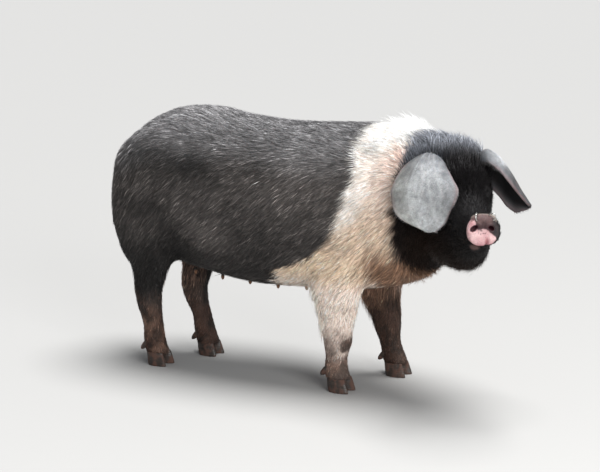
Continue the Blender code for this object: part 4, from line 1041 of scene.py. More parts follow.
EARS = (
    Ear("right", (
        ((0.002, -0.093, -0.032), (0.002, -0.071, -0.025), (0.013, -0.051, -0.021)),
        ((-0.006, -0.118, -0.014), (0.009, -0.084, 0.009), (0.041, -0.049, -0.003)),
        ((0.011, -0.162, -0.041), (0.060, -0.105, -0.006), (0.096, -0.040, -0.004)),
        ((0.043, -0.190, -0.091), (0.094, -0.113, -0.050), (0.141, -0.033, -0.010)),
        ((0.077, -0.181, -0.128), (0.116, -0.107, -0.096), (0.168, -0.049, -0.049)),
        ((0.103, -0.153, -0.146), (0.130, -0.100, -0.129), (0.166, -0.063, -0.101)),
        ((0.120, -0.108, -0.159), (0.141, -0.094, -0.152), (0.154, -0.084, -0.138))), 0.0),
    Ear("left", (
        ((-0.015, 0.072, -0.093), (-0.012, 0.050, -0.012), (0.016, 0.046, -0.018)),
        ((0.000, 0.094, -0.110), (0.000, 0.072, 0.012), (0.048, 0.068, 0.002)),
        ((0.018, 0.117, -0.126), (0.014, 0.095, 0.006), (0.075, 0.094, -0.005)),
        ((0.038, 0.138, -0.145), (0.032, 0.118, -0.016), (0.092, 0.118, -0.025)),
        ((0.058, 0.157, -0.151), (0.052, 0.137, -0.038), (0.102, 0.137, -0.046)),
        ((0.078, 0.174, -0.133), (0.071, 0.161, -0.072), (0.104, 0.159, -0.073)),
        ((0.090, 0.187, -0.119), (0.087, 0.188, -0.109), (0.096, 0.183, -0.102))), -0.38),
)


def ear_colour(points: Array, sheet: Array) -> Array:
    """Colour of an ear: mottled grey outside with a painted highlight in its middle and veins painted
    lighter, dark hair at its root, a dark inside of hair and painted shade, the outside of the left ear
    painted dark as shade, and a pale rim.

    Args:
        points: Places on the ear.
        sheet: What the ear's surface carries for each.

    Returns:
        A colour for each place.
    """
    s, t, face = np.abs(sheet[:, 0]) - 1, sheet[:, 1], sheet[:, 2]
    cloud = 0.5 + 0.5 * noise(points, 24.0, 61) + 0.22 * noise(points, 95.0, 62)
    # Painted highlight in the middle of the ear; the ear is also lighter towards its tip and darker towards
    # its rear edge
    painted_highlight = bell((s - 0.42) / 0.22, (t - 0.05) / 0.55)
    cloud = 0.14 + 0.60 * cloud + 0.38 * painted_highlight + 0.66 * step(0.50, 0.95, s) - 0.42 * step(0.0, 0.9, t)
    outer = mix(TINTS.ear_grey, TINTS.ear_light, np.clip(cloud, 0, 1))
    outer = outer * (0.92 + 0.20 * noise(points, 260.0, 63) + 0.22 * noise(points, 110.0, 64))[:, None]
    outer = outer * mix((1.0, 1.0, 1.0), (1.0, 0.99, 0.92), step(0.1, 0.9, t))
    vein = np.zeros(len(points))
    for start, end, bend, thin in Ear.veins():
        line = start + (end - start) * s + 0.07 * np.sin(5.5 * s + bend)
        vein = np.maximum(vein, bell((t - line) / thin))
    # Painted highlight along the ridges of the veins
    outer = mix(outer, TINTS.ear_light, 0.45 * vein * step(0.05, 0.2, s) * step(1.0, 0.6, s))
    root = s + 0.06 * noise(points, 60.0, 65) + 0.05 * noise(points, 18.0, 66)
    depth = np.where(sheet[:, 0] > 0, 0.50, 0.74)
    # The nape's sheen colour darkened to slate, for the hair at the ear roots
    slate = 0.27 * np.array(TINTS.nape_hair)
    front = t + 0.2 * noise(points, 30.0, 67)
    outer = mix(outer, slate, depth * step(0.42, 0.16, root) + 0.2 * step(0.22, 0.06, root))
    outer = mix(outer, slate, 0.58 * step(-0.50, -0.92, front) * step(0.75, 0.45, s))
    # Painted shade: the outside of the left ear made nearly as dark as the inside
    outer = mix(outer, TINTS.ear_inside, 0.9 * (sheet[:, 0] > 0) * step(0.34, 0.70, root))
    outer = mix(outer, TINTS.slate_hair, 0.55 * step(-0.90, -0.98, t))
    inner = mix(TINTS.ear_inside, TINTS.ear_grey, 0.5 * step(0.75, 1.0, np.abs(t)))
    colour = mix(inner, outer, step(-0.2, 0.2, face))
    return mix(colour, TINTS.snout_pink, 0.16 * step(0.86, 1.0, np.abs(t)) * step(0.1, 0.3, s))


# Eyes

@dataclass(frozen=True)
class Eye:
    """A small brown eye under an ear, with raised lids round it."""

    side: str
    lid: float = 0.0034
    lid_length: float = 1.75
    bulge: float = 0.05

    def frame(self) -> tuple[Array, Array, float]:
        """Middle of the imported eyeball, axes that look out, forward and up, and its radius."""
        low, high = node_box(f"eye_{self.side}")
        along, left, up = HEAD.axes()
        out = unit(left * SIDES[self.side] * 0.9 + along * 0.35 + up * 0.15)
        ahead = unit(along - out * (out @ along))
        over = np.cross(out, ahead)
        over = over if over @ up > 0 else -over
        return (low + high) / 2, np.stack([out, ahead, over]), float((high - low).mean() / 2)

    @staticmethod
    def almond(half_length: float, half_height: float, turns: int) -> Array:
        """Outline of the opening: an ellipse drawn to a corner in front and behind."""
        angle = np.linspace(0, 2 * np.pi, turns, endpoint=False)
        height = half_height * np.sin(angle) * np.abs(np.sin(angle)) ** 0.35
        return np.stack([half_length * np.cos(angle), height], 1)

    def lids(self) -> Surface:
        """The swelling that both lids make over the eyeball."""
        centre, axes, radius = self.frame()
        radii = np.array([radius + self.lid, radius * self.lid_length, radius + self.lid])
        return ellipsoid(centre, axes, radii, 24, 40)

    def slit(self) -> Surface:
        """The almond opening between the lids, driven outwards from the middle of the eye."""
        centre, axes, radius = self.frame()
        outline = self.almond(radius * 1.02, radius * 0.50, 28)
        rings = np.stack([np.column_stack([np.full(28, depth), outline]) for depth in (0.0, radius * 3)])
        return Surface.from_rings(rings @ axes + centre)

    def rim(self) -> Surface:
        """The thick edge of the lids: a tube along the almond, on the lids' own ellipsoid."""
        centre, axes, radius = self.frame()
        outline = self.almond(radius * 1.06, radius * 0.56, 40)
        over = 1 - ((outline / (radius * self.lid_length, radius + self.lid)) ** 2).sum(axis=1)
        out = (radius + self.lid - 0.0008) * np.sqrt(np.maximum(over, 0.05))
        route = np.column_stack([out, outline]) @ axes + centre
        return tube(route, np.full(40, 0.0016), 10, True, axes[0])

    def ball(self) -> Object:
        """The eyeball with a clear bulge over its iris, its colours held by the mesh."""
        centre, axes, radius = self.frame()
        radius -= 0.0004
        made = ellipsoid(np.zeros(3), np.eye(3), np.full(3, radius), 46, 56)
        off_axis = np.arccos(np.clip(made.points[:, 0] / radius, -1, 1))
        made.points *= (1 + self.bulge * step(0.62, 0.35, off_axis))[:, None]
        ray = 0.5 + 0.5 * noise(np.column_stack([np.arctan2(made.points[:, 1], made.points[:, 2]) * 9,
                                                 off_axis * 3, off_axis * 0]), 1.0, 71)
        iris = mix((0.020, 0.009, 0.004), (0.085, 0.038, 0.014), ray)
        colour = mix(mix((0.002, 0.002, 0.002), iris, step(0.24, 0.28, off_axis)), (0.30, 0.20, 0.16),
                     step(0.66, 0.74, off_axis))
        ball = Surface(to_frame(made.points @ axes + centre), made.faces)
        obj = mesh_object(f"eyeball_{self.side}", ball)
        paint(obj.data, colour)
        return obj


def paint(mesh: Mesh, colour: Array, gloss: Array | None = None) -> None:
    """Store a colour, and a roughness if one is given, for each vertex of a mesh."""
    rows = np.column_stack([np.clip(colour, 0, 1), np.ones(len(colour))]).astype(np.float32)
    mesh.color_attributes.new("hide", "FLOAT_COLOR", "POINT").data.foreach_set("color", rows.ravel())
    if gloss is not None:
        mesh.attributes.new("gloss", "FLOAT", "POINT").data.foreach_set("value", gloss.astype(np.float32))


# The skin

@dataclass(frozen=True)
class Fold:
    """A crease or a ridge along a path on the body, on both sides of it."""

    path: Sequence
    width: float
    height: float

    def relief(self, points: Array) -> Array:
        """Height of the fold: a bell across its path, with a soft rise beside a crease."""
        total = np.zeros(len(points))
        for way in SIDES.values():
            path = np.array(self.path) * np.array([1, way, 1])
            path[:, 1] += BodyForm.middle(path[:, 0])
            near = distance_to_path(points, path) / self.width
            total += self.height * (bell(near) - 0.45 * bell(near - 1.9))
        return total


BODY_FOLDS = (
    Fold(((0.205, 0.17, 0.67), (0.182, 0.20, 0.54), (0.186, 0.19, 0.42), (0.212, 0.17, 0.325)),
         0.040, -0.0045),
    Fold(((-0.205, 0.20, 0.43), (-0.235, 0.17, 0.335), (-0.270, 0.14, 0.285)), 0.016, 0.0050),
    Fold(((-0.410, 0.13, 0.64), (-0.425, 0.16, 0.52), (-0.440, 0.14, 0.40)), 0.030, -0.0032),
    Fold(((-0.180, 0.16, 0.66), (-0.260, 0.18, 0.58), (-0.360, 0.17, 0.55)), 0.045, -0.0055),
    Fold(THIGH_FOLD, 0.034, -0.0050),
    Fold(((0.430, 0.16, 0.64), (0.415, 0.18, 0.54), (0.420, 0.17, 0.43), (0.430, 0.10, 0.35)),
         0.012, -0.0040),
    Fold(((0.462, 0.15, 0.60), (0.452, 0.16, 0.50), (0.462, 0.12, 0.41)), 0.009, -0.0028),
    Fold(((0.232, 0.18, 0.345), (0.250, 0.16, 0.300), (0.282, 0.17, 0.285)), 0.008, -0.0028),
    Fold(((0.375, 0.15, 0.36), (0.365, 0.12, 0.31), (0.340, 0.10, 0.285)), 0.011, -0.0030),
    Fold(((0.300, 0.19, 0.50), (0.345, 0.18, 0.58), (0.350, 0.16, 0.66)), 0.032, 0.0030),
)


@dataclass(frozen=True)
class Skin:
    """One skin for all the flesh: lofts merged, blended, sculpted, and joined by ears, lids and tail."""

    voxel: float = 0.0066
    depth: float = 0.0036
    crest_depth: float = 0.0130
    # Left, up, half length, half height and slant of each nostril on the disc
    nostrils: tuple = ((-0.0270, 0.0120, 0.0112, 0.0068, 0.70), (0.0165, 0.0120, 0.0092, 0.0062, -0.55))
    # Place on the right half of the head, reach and rise of brow, socket, cheek bone, hollow, side and poll
    face_bells: tuple = (((0.082, 0.060, -0.020), 0.022, 0.0050), ((0.104, 0.075, -0.062), 0.022, -0.0045),
                         ((0.060, 0.088, -0.105), 0.034, 0.0040), ((0.150, 0.050, -0.075), 0.026, -0.0026),
                         ((0.205, 0.045, -0.035), 0.024, 0.0022), ((0.030, 0.0, 0.020), 0.030, 0.0030))
    # Left, up, reach and rise of the lobes and of the middle of the disc
    disc_bells: tuple = ((-0.018, -0.018, 0.016, 0.0034), (0.026, -0.018, 0.013, 0.0036),
                         (0.006, 0.030, 0.018, 0.0026), (0.004, -0.002, 0.010, 0.0012))
    # Place and radius along the tail, then x and height of the belly at the teats
    tail_route: tuple = ((-0.468, -0.020, 0.628, 0.0170), (-0.492, -0.018, 0.630, 0.0165),
                         (-0.510, -0.013, 0.612, 0.0150), (-0.515, -0.006, 0.572, 0.0125),
                         (-0.511, 0.002, 0.520, 0.0100), (-0.508, 0.008, 0.485, 0.0088),
                         (-0.510, 0.007, 0.460, 0.0078), (-0.512, 0.004, 0.442, 0.0050))
    belly_line: tuple = ((-0.225, 0.292), (-0.10, 0.283), (0.06, 0.280), (0.155, 0.286))

    def build(self) -> Object:
        """Make the skin, in the pig's own coordinates."""
        body = mesh_object("skin", Surface.joined(FORM.lofts()))
        remesh = body.modifiers.new("Remesh", "REMESH")
        remesh.mode = "VOXEL"
        remesh.voxel_size = self.voxel
        apply_modifiers(body)
        self.blend_creases(body.data)
        self.refine_face(body)
        self.sculpt(body.data)
        combine(body, [Surface.joined(self.outgrowths())], "UNION")
        combine(body, [Surface.joined(self.openings())], "DIFFERENCE")
        combine(body, [Surface.joined([Eye(side).rim() for side in SIDES])], "UNION")
        return body

    @staticmethod
    def blend_creases(mesh: Mesh) -> None:
        """Blend the lofts: many rounds on trunk and neck, few on the legs and the face."""
        points = read_points(mesh)
        on_body = np.clip((points[:, 2] - 0.25) / 0.08, 0, 1)
        off_face = np.clip((0.13 - HEAD.local(points)[:, 0]) / 0.08, 0, 1)
        relax(mesh, on_body * off_face, 36)
        relax(mesh, np.ones(len(points)), 5)

    @staticmethod
    def refine_face(body: Object) -> None:
        """Halve the mesh over the head, and twice round the snout and the mouth."""
        for nearest, rounds in ((-0.02, 3), (0.170, 3)):
            local = HEAD.local(read_points(body.data))
            chosen = (local[:, 0] > nearest) & (np.abs(local[:, 1]) < 0.13) & (local[:, 2] > -0.36)
            refine(body, chosen)
            local = HEAD.local(read_points(body.data))
            relax(body.data, step(nearest, nearest + 0.02, local[:, 0]) * (local[:, 2] > -0.36), rounds)

    def sculpt(self, mesh: Mesh) -> None:
        """Sink the skin by the depth of the coat, and raise its folds, wrinkles, brows and lips."""
        points, normals = read_points(mesh), read_points(mesh, "normal")
        local = HEAD.local(points)
        leg = step(0.30, 0.12, points[:, 2])
        bare = step(0.20, 0.29, local[:, 0]) * ahead_of_trunk(points)
        height = -self.depth * (1 - leg) * (1 - 0.9 * bare)
        for fold in BODY_FOLDS:
            height = height + fold.relief(points) * step(-0.02, -0.06, local[:, 0])
        height += 0.0012 * noise(points, 9.0, 81) * (1 - bare) + 0.0005 * noise(points, 34.0, 82)
        height -= self.crest_depth * MARKS.nape(points, normals[:, 2])
        height += self.leg_relief(points) + self.head_relief(local) * step(0.47, 0.53, points[:, 0])
        height += self.disc_relief(points)
        write_points(mesh, points + normals * height[:, None])

    @staticmethod
    def leg_relief(points: Array) -> Array:
        """Height of the wrinkles above the dewclaws and of a callus on each knee."""
        x, _, z = points.T
        low = step(0.12, 0.10, z) * step(0.05, 0.07, z)
        broken = np.clip(0.5 + noise(points, 34.0, 87), 0, 1)
        wrinkles = 0.0008 * np.sin(z * 2 * np.pi / 0.011 + 3.0 * noise(points, 30.0, 83)) * low * broken
        callus = np.zeros(len(points))
        for (foot_x, foot_y) in FORM.front_feet.values():
            knee = np.array([foot_x + 0.034, foot_y, 0.148])
            callus += 0.0030 * bell(apart(points, knee, 0.017))
        return wrinkles + callus

    def head_relief(self, local: Array) -> Array:
        """Relief of the face, the same left and right.

        Cosine wrinkles over the bridge, bells for brows, sockets and cheek bones, a groove with two
        swollen lips along the mouth, creases across the jowl and furrows between the brows.

        Args:
            local: Places of the head.

        Returns:
            Height over the blended skin.
        """
        a, b, c = local.T
        side = np.abs(b)
        top = step(-0.055, -0.020, c)
        wave = np.cos(2 * np.pi * (a + 4.0 * b * b + 0.003 * noise(local, 40.0, 84)) / 0.0128)
        height = 0.0027 * wave * step(0.212, 0.240, a) * step(0.306, 0.296, a) * top
        folded = np.stack([a, side, c], 1)
        for place, reach, rise in self.face_bells:
            height += rise * bell(apart(folded, place, reach))
        mouth = c - (-0.094 + 0.2309 * (a - 0.150)) + 0.0015 * np.sin(a * 90)
        along = step(0.150, 0.175, a) * step(0.332, 0.322, a)
        height += along * (-0.0050 * bell(mouth / 0.0030)
                           + 0.0026 * bell((np.abs(mouth) - 0.0105) / 0.0075))
        for start, bend in ((0.118, 0.00), (0.085, 0.01), (0.045, 0.0)):
            crease = a - (start + 0.35 * (c + 0.13) + bend * np.sin(60 * c))
            height -= 0.0028 * bell(crease / 0.0055) * step(-0.10, -0.13, c) * step(-0.26, -0.22, c)
        for groove in (0.014, 0.034):
            furrow = side - groove - 0.05 * (a - 0.05)
            height -= 0.0016 * bell(furrow / 0.004) * step(0.0, 0.03, a) * step(0.13, 0.09, a) * top
        return height + 0.0004 * noise(local, 160.0, 85) * step(0.25, 0.30, a)

    def disc_relief(self, points: Array) -> Array:
        """Relief of the disc: rims round the nostrils, lobes, the cleft and the fold behind its rim."""
        out, across, up = HEAD.disc_local(points).T
        height = 0.0007 * noise(points, 110.0, 86)
        for nostril in self.nostrils:
            ring = np.hypot(*self.nostril_place(points, nostril)[:, 1:].T)
            height += 0.0019 * bell((ring - 1.45) / 0.40)
        for left, rise, reach, swell in self.disc_bells:
            height += swell * bell((across - left) / reach, (up - rise) / reach)
        cleft = bell((across - 0.0065) / 0.0036) * step(-0.010, -0.026, up)
        height -= 0.0060 * cleft
        fold = 0.0050 * bell((out + 0.021) / 0.0070) * MARKS.bridge(points)
        return height * step(-0.016, -0.004, out) * ahead_of_trunk(points) + fold

    @staticmethod
    def nostril_place(points: Array, nostril: tuple) -> Array:
        """Places as a nostril sees them: depth, then along and across its slanting opening, in half sizes."""
        left, rise, wide, tall, tilt = nostril
        out, across, up = (HEAD.disc_local(points) - (-0.004, left, rise)).T
        along = across * math.cos(tilt) + up * math.sin(tilt)
        over = up * math.cos(tilt) - across * math.sin(tilt)
        return np.stack([out / 0.016, along / wide, over / tall], 1)

    def tail(self) -> Surface:
        """The tail, hanging slack between the hams with a small bend at its end."""
        knots = np.linspace(0, 1, len(self.tail_route))
        rows = smooth_rows(knots, self.tail_route, np.linspace(0, 1, 70))
        ridge = 1 + 0.035 * np.sin(np.arange(70) * 1.1)
        return tube(rows[:, :3], rows[:, 3] * ridge, 24)

    @classmethod
    def teat_places(cls) -> Array:
        """Roots of two rows of teats under the belly."""
        x = -0.225 + np.repeat(np.arange(5), 2) * 0.095
        way = np.tile(list(SIDES.values()), 5)
        across = BodyForm.middle(x) + way * (0.058 + 0.042 * (x + 0.225))
        return np.stack([x, across, read_off(cls.belly_line, x)], 1)

    def teats(self) -> list[Surface]:
        """A small cone with a blunt end at each place."""
        turned = np.array([[0, 0, 1.0], [0, 1.0, 0], [1.0, 0, 0]])
        radii = np.array([0.0105, 0.0052, 0.0052])
        return [ellipsoid(place, turned, radii, 12, 18) for place in self.teat_places()]

    def outgrowths(self) -> list[Surface]:
        """Ears, tail, teats and lids, which join the body."""
        made = [ear.surface() for ear in EARS] + [self.tail()] + self.teats()
        return made + [Eye(side).lids() for side in SIDES]

    def openings(self) -> list[Surface]:
        """The slits between the lids, and the nostrils, which are cut out of the body."""
        made = [Eye(side).slit() for side in SIDES]
        out, across, up = HEAD.disc_axes()
        for left, rise, wide, tall, tilt in self.nostrils:
            axes = np.stack([out, across * math.cos(tilt) + up * math.sin(tilt),
                             up * math.cos(tilt) - across * math.sin(tilt)])
            centre = HEAD.disc_place([-0.002, left, rise])
            made.append(ellipsoid(centre, axes, np.array([0.018, wide, tall]), 22, 30))
        return made

    @staticmethod
    def dress(body: Object, sheet: Array) -> None:
        """Colour every point of the skin and give it its roughness."""
        points = read_points(body.data)
        ear = np.abs(sheet[:, 0]) > 0.5
        colour = MARKS.skin(points)
        colour[ear] = ear_colour(points[ear], sheet[ear])
        seen = [Skin.nostril_place(points, nostril) for nostril in Skin.nostrils]
        hole = np.linalg.norm(seen, axis=2).min(axis=0)
        snout = MARKS.on_snout(points)
        # Painted shade inside and round the nostrils
        colour = mix(colour, TINTS.nostril, 0.92 * step(1.25, 0.95, hole))
        for place in Skin.teat_places():
            near = apart(points, place + TEAT_TIP)
            colour = mix(colour, TINTS.bare_brown, 0.7 * step(0.012, 0.007, near))
        gloss = 0.72 - 0.36 * snout * (1 - ear) + 0.05 * noise(points, 120.0, 91) - 0.12 * ear
        paint(body.data, colour, gloss)


# The coat

class Region(Enum):
    """Stretches of the body that each carry one piece of coat."""

    RUMP = 0
    LOIN = 1
    CHEST = 2
    SHOULDER = 3
    NECK = 4
    FACE = 5
    FORELEGS = 6
    HIND_LEGS = 7


@dataclass(frozen=True)
class Tuft:
    """Form of a kind of tuft: sizes in metres, then slopes as parts of its length."""

    length: float
    width: float
    rise: float
    bend: float
    sway: float = 0.10
    rings: int = 2
    spread: float = 0.28
    # Painted sheen: glint brightens a fifth of the dark tufts and tip brightens each tuft towards its tip
    glint: float = 0.6
    tip: float = 0.66


@dataclass
class Roots:
    """Where tufts grow: places, normals, lie of the hair, and its colour."""

    points: Array
    normals: Array
    lie: Array
    colour: Array

    def kept(self, chosen: Array) -> "Roots":
        """Only the chosen roots."""
        return Roots(self.points[chosen], self.normals[chosen], self.lie[chosen], self.colour[chosen])


def unwrap(points: Array) -> Array:
    """Unwrap the body's shape.

    The trunk, neck and head are rolled out round a line from hips to snout, and each leg round its own
    upright line, in a box of its own below.

    Args:
        points: Places on the skin.

    Returns:
        Place of each on the map, from 0 to 1 both ways.
    """
    line = np.array([(-0.52, -0.026, 0.52), (0.33, 0.012, 0.53), (0.50, 0.0, 0.545), (0.60, -0.03, 0.58)]
                    + [tuple(HEAD.place([along, 0.0, -0.10])) for along in (0.06, 0.34)])
    lengths = np.concatenate([[0.0], np.cumsum(np.linalg.norm(np.diff(line, axis=0), axis=1))])
    best, run, turn = np.full(len(points), np.inf), np.zeros(len(points)), np.zeros(len(points))
    for number, (start, end) in enumerate(zip(line[:-1], line[1:])):
        along = end - start
        share, away = from_line(points, start, end)
        near = np.linalg.norm(away, axis=1)
        side = unit(np.array([-along[1], along[0], 0.0]))
        angle = np.arctan2(away @ side, away @ unit(np.cross(along, side)))
        closer = near < best
        best = np.where(closer, near, best)
        run = np.where(closer, lengths[number] + share * np.linalg.norm(along), run)
        turn = np.where(closer, angle, turn)
    flat = np.stack([0.02 + 0.96 * run / lengths[-1], 0.67 + 0.31 * turn / np.pi], 1)
    for number, foot in enumerate([*FORM.front_feet.values(), *FORM.hind_feet.values()]):
        away = points[:, :2] - np.array(foot)
        on_leg = (points[:, 2] < 0.27) & (np.hypot(*away.T) < 0.11)
        box = np.stack([0.03 + 0.24 * number + 0.10 * (1 + np.arctan2(away[:, 1], away[:, 0]) / np.pi),
                        0.01 + 1.15 * points[:, 2]], 1)
        flat[on_leg] = box[on_leg]
    return flat


def laid_on(points: Array, normals: Array, shape: BVHTree) -> tuple[Array, Array]:
    """Lay points on a shape.

    Args:
        points: Places near the shape.
        normals: Which way the surface faces at the root of each.
        shape: The triangles of the shape.

    Returns:
        The nearest place on the shape and its normal, or the point and its own normal where that place
        faces another way.
    """
    flat, facing = points.reshape(-1, 3), normals.reshape(-1, 3)
    hits = [shape.find_nearest(Vector(point))[:2] for point in flat.tolist()]
    found = np.array([(*place, *normal) for place, normal in hits])
    agree = (np.einsum("ij,ij->i", found[:, 3:], facing) > AGREEMENT)[:, None]
    laid = np.where(agree, found, np.concatenate([flat, facing], axis=1)).reshape(*points.shape[:-1], 6)
    return laid[..., :3], laid[..., 3:]


def clear_of_ears(middle: Array, ears: BVHTree) -> Array:
    """Shrink to nearly nothing the tufts of the head that start on an ear or would run into one.

    Args:
        middle: Middle line of each tuft, from its root.
        ears: The triangles of both ears.

    Returns:
        The middle lines, those of the shrunk tufts drawn in to their roots.
    """
    roots = middle[:, 0]
    near = apart(HEAD.local(roots), EARS_MIDDLE) < EARS_REACH
    scale = np.ones(len(middle))
    for number in np.flatnonzero(near):
        if ears.find_nearest(Vector(roots[number]), EAR_CLEARANCE)[0] is not None:
            scale[number] = SHRUNK
        for start, end in zip(middle[number, :-1], middle[number, 1:]):
            way = Vector(end - start)
            if ears.ray_cast(Vector(start), way, RAY_MARGIN * way.length)[0] is not None:
                scale[number] = SHRUNK
    return roots[:, None] + (middle - roots[:, None]) * scale[:, None, None]


def grow(name: str, roots: Roots, kind: Tuft, scale: Array, rng: np.random.Generator,
         ears: BVHTree | None = None, shape: BVHTree | None = None) -> Object:
    """One mesh of tapered tufts of three sides.

    The middle line of a tuft leaves the skin along the lie, rises in proportion to its run, bends back
    with the square of it and sways to one side. Its width falls to nothing at the tip.

    Args:
        name: Name of the piece.
        roots: Where the tufts grow.
        kind: Their form.
        scale: Length of each tuft as a part of the kind's length.
        rng: Source of the random draws.
        ears: Both ears, which no tuft may pierce.
        shape: Where given, the surface that the tufts follow; else they leave it straight.

    Returns:
        The coat piece, with a colour for each point and a map of patches on the unwrap.
    """
    count, rings = len(roots.points), kind.rings
    length = kind.length * scale * rng.uniform(0.75, 1.25, count)
    width = kind.width * (0.55 + 0.45 * scale) * rng.uniform(0.7, 1.3, count)
    rise = kind.rise * rng.uniform(0.5, 1.5, count)
    sway = kind.sway * rng.normal(0.0, 1.0, count)
    side = np.cross(roots.lie, roots.normals)
    t = np.linspace(0.0, 1.0, rings + 1)[None, :, None]
    rise, sway, long = rise[:, None, None], sway[:, None, None], length[:, None, None]
    flat = roots.points[:, None] + long * (roots.lie[:, None] * t + side[:, None] * sway * t * t)
    facing = np.repeat(roots.normals[:, None], rings + 1, axis=1)
    if shape is not None:
        flat[:, 1:], facing[:, 1:] = laid_on(flat[:, 1:], facing[:, 1:], shape)
    middle = flat + facing * (long * (rise * t - kind.bend * t * t) - SUNK)
    if ears is not None:
        middle = clear_of_ears(middle, ears)
    # Three points of each ring lie round the middle line, the first of them outermost
    around = np.radians([90.0, 210.0, 330.0])[None, None, :, None]
    radius = (width[:, None] / 2 * (1 - t[..., 0]) ** 0.7)[:, :rings, None, None]
    ring = (middle[:, :rings, None] + radius * (side[:, None, None] * np.cos(around)
                                                + 0.7 * roots.normals[:, None, None] * np.sin(around)))
    points = np.concatenate([ring.reshape(count, rings * 3, 3), middle[:, rings:]], axis=1)
    faces = [(0, 2, 1)]
    for level in range(rings - 1):
        for corner in range(3):
            a, b = level * 3 + corner, level * 3 + (corner + 1) % 3
            faces += [(a, b, b + 3), (a, b + 3, a + 3)]
    last = (rings - 1) * 3
    faces += [(last + corner, last + (corner + 1) % 3, rings * 3) for corner in range(3)]
    each = rings * 3 + 1
    every = (np.arange(count)[:, None, None] * each + np.array(faces)).reshape(-1, 3)
    obj = mesh_object(name, Surface(to_frame(points.reshape(-1, 3)), every))
    run = np.append(np.repeat(np.linspace(0, 1, rings + 1)[:-1], 3), 1.0)
    # Painted light along each tuft: darker at the root as painted shade among the hairs, lighter towards the
    # tip and on a fifth of the dark tufts as painted sheen, all at a random level
    pale = step(0.30, 0.75, roots.colour.mean(axis=1))
    glint = 1 + kind.glint * (1 - pale) * (rng.random(count) < 0.20)
    level = glint * np.exp(kind.spread * (1 - 0.5 * pale) * rng.normal(-0.05, 1.0, count))
    shade = level[:, None] * ((0.56 + 0.46 * pale)[:, None] + (kind.tip * (1 - 0.6 * pale))[:, None] * run)
    paint(obj.data, (roots.colour[:, None] * shade[..., None]).reshape(-1, 3))
    patch = np.stack([run - 0.5, np.append(np.tile([-0.5, 0.0, 0.5], rings), 0.0)], 1) * PATCH
    flat = (unwrap(roots.points)[:, None] + patch).reshape(-1, 2)[every.ravel()]
    obj.data.uv_layers.new(name="OFBake").data.foreach_set("uv", flat.astype(np.float32).ravel())
    return obj


# Number and form of the tufts of each piece that stands out; those of the tail hang straight down
STANDING_HAIR = {
    "crest": (5200, Tuft(0.050, 0.0016, 0.52, 0.30, 0.26, 3, spread=0.5, glint=1.2, tip=1.7)),
    "brow": (2400, Tuft(0.036, 0.0017, 0.60, 0.26, 0.25, 3)),
    "beard": (3600, Tuft(0.036, 0.0017, 0.40, 0.22, 0.20, 3)),
    "forearm_fringe": (1700, Tuft(0.042, 0.0018, 0.34, 0.16, 0.12, 3)),
    "tail_tuft": (420, Tuft(0.062, 0.0018, 0.22, 0.14, 0.12, 3)),
    "coronet_fringe": (1900, Tuft(0.015, 0.0016, 0.16, 0.10, 0.12, 2)),
}
DARK_FLAT = Tuft(0.031, 0.0020, 0.21, 0.07, 0.12, spread=0.54, glint=1.3, tip=0.90)
PALE_FLAT = Tuft(0.031, 0.0020, 0.21, 0.07, 0.12, spread=0.54, glint=0.5, tip=0.90)
HEAD_FLAT = Tuft(0.025, 0.0017, 0.32, 0.12, 0.20, spread=0.45)
EAR_FLAT = Tuft(0.011, 0.0008, 0.12, 0.08)
EAR_HAIRS = 5200
# Streaks of light and dark hair: share, cells in a metre, how far they are drawn out along the hair, lattice
CLUMPS = ((0.72, 150.0, 122.0, 36), (0.30, 60.0, 44.0, 37))
# Bare skin round the end of each teat, in metres, and round each eye, in its radii
TEAT_BARE = 0.0125
EYE_BARE = 1.35
# Way of the hair of the tail's tuft, and places where one region of the trunk gives way to the next
TAIL_FALL = np.array([0.12, 0.0, -1.0])
REGION_EDGES = (-0.20, 0.02, 0.22)


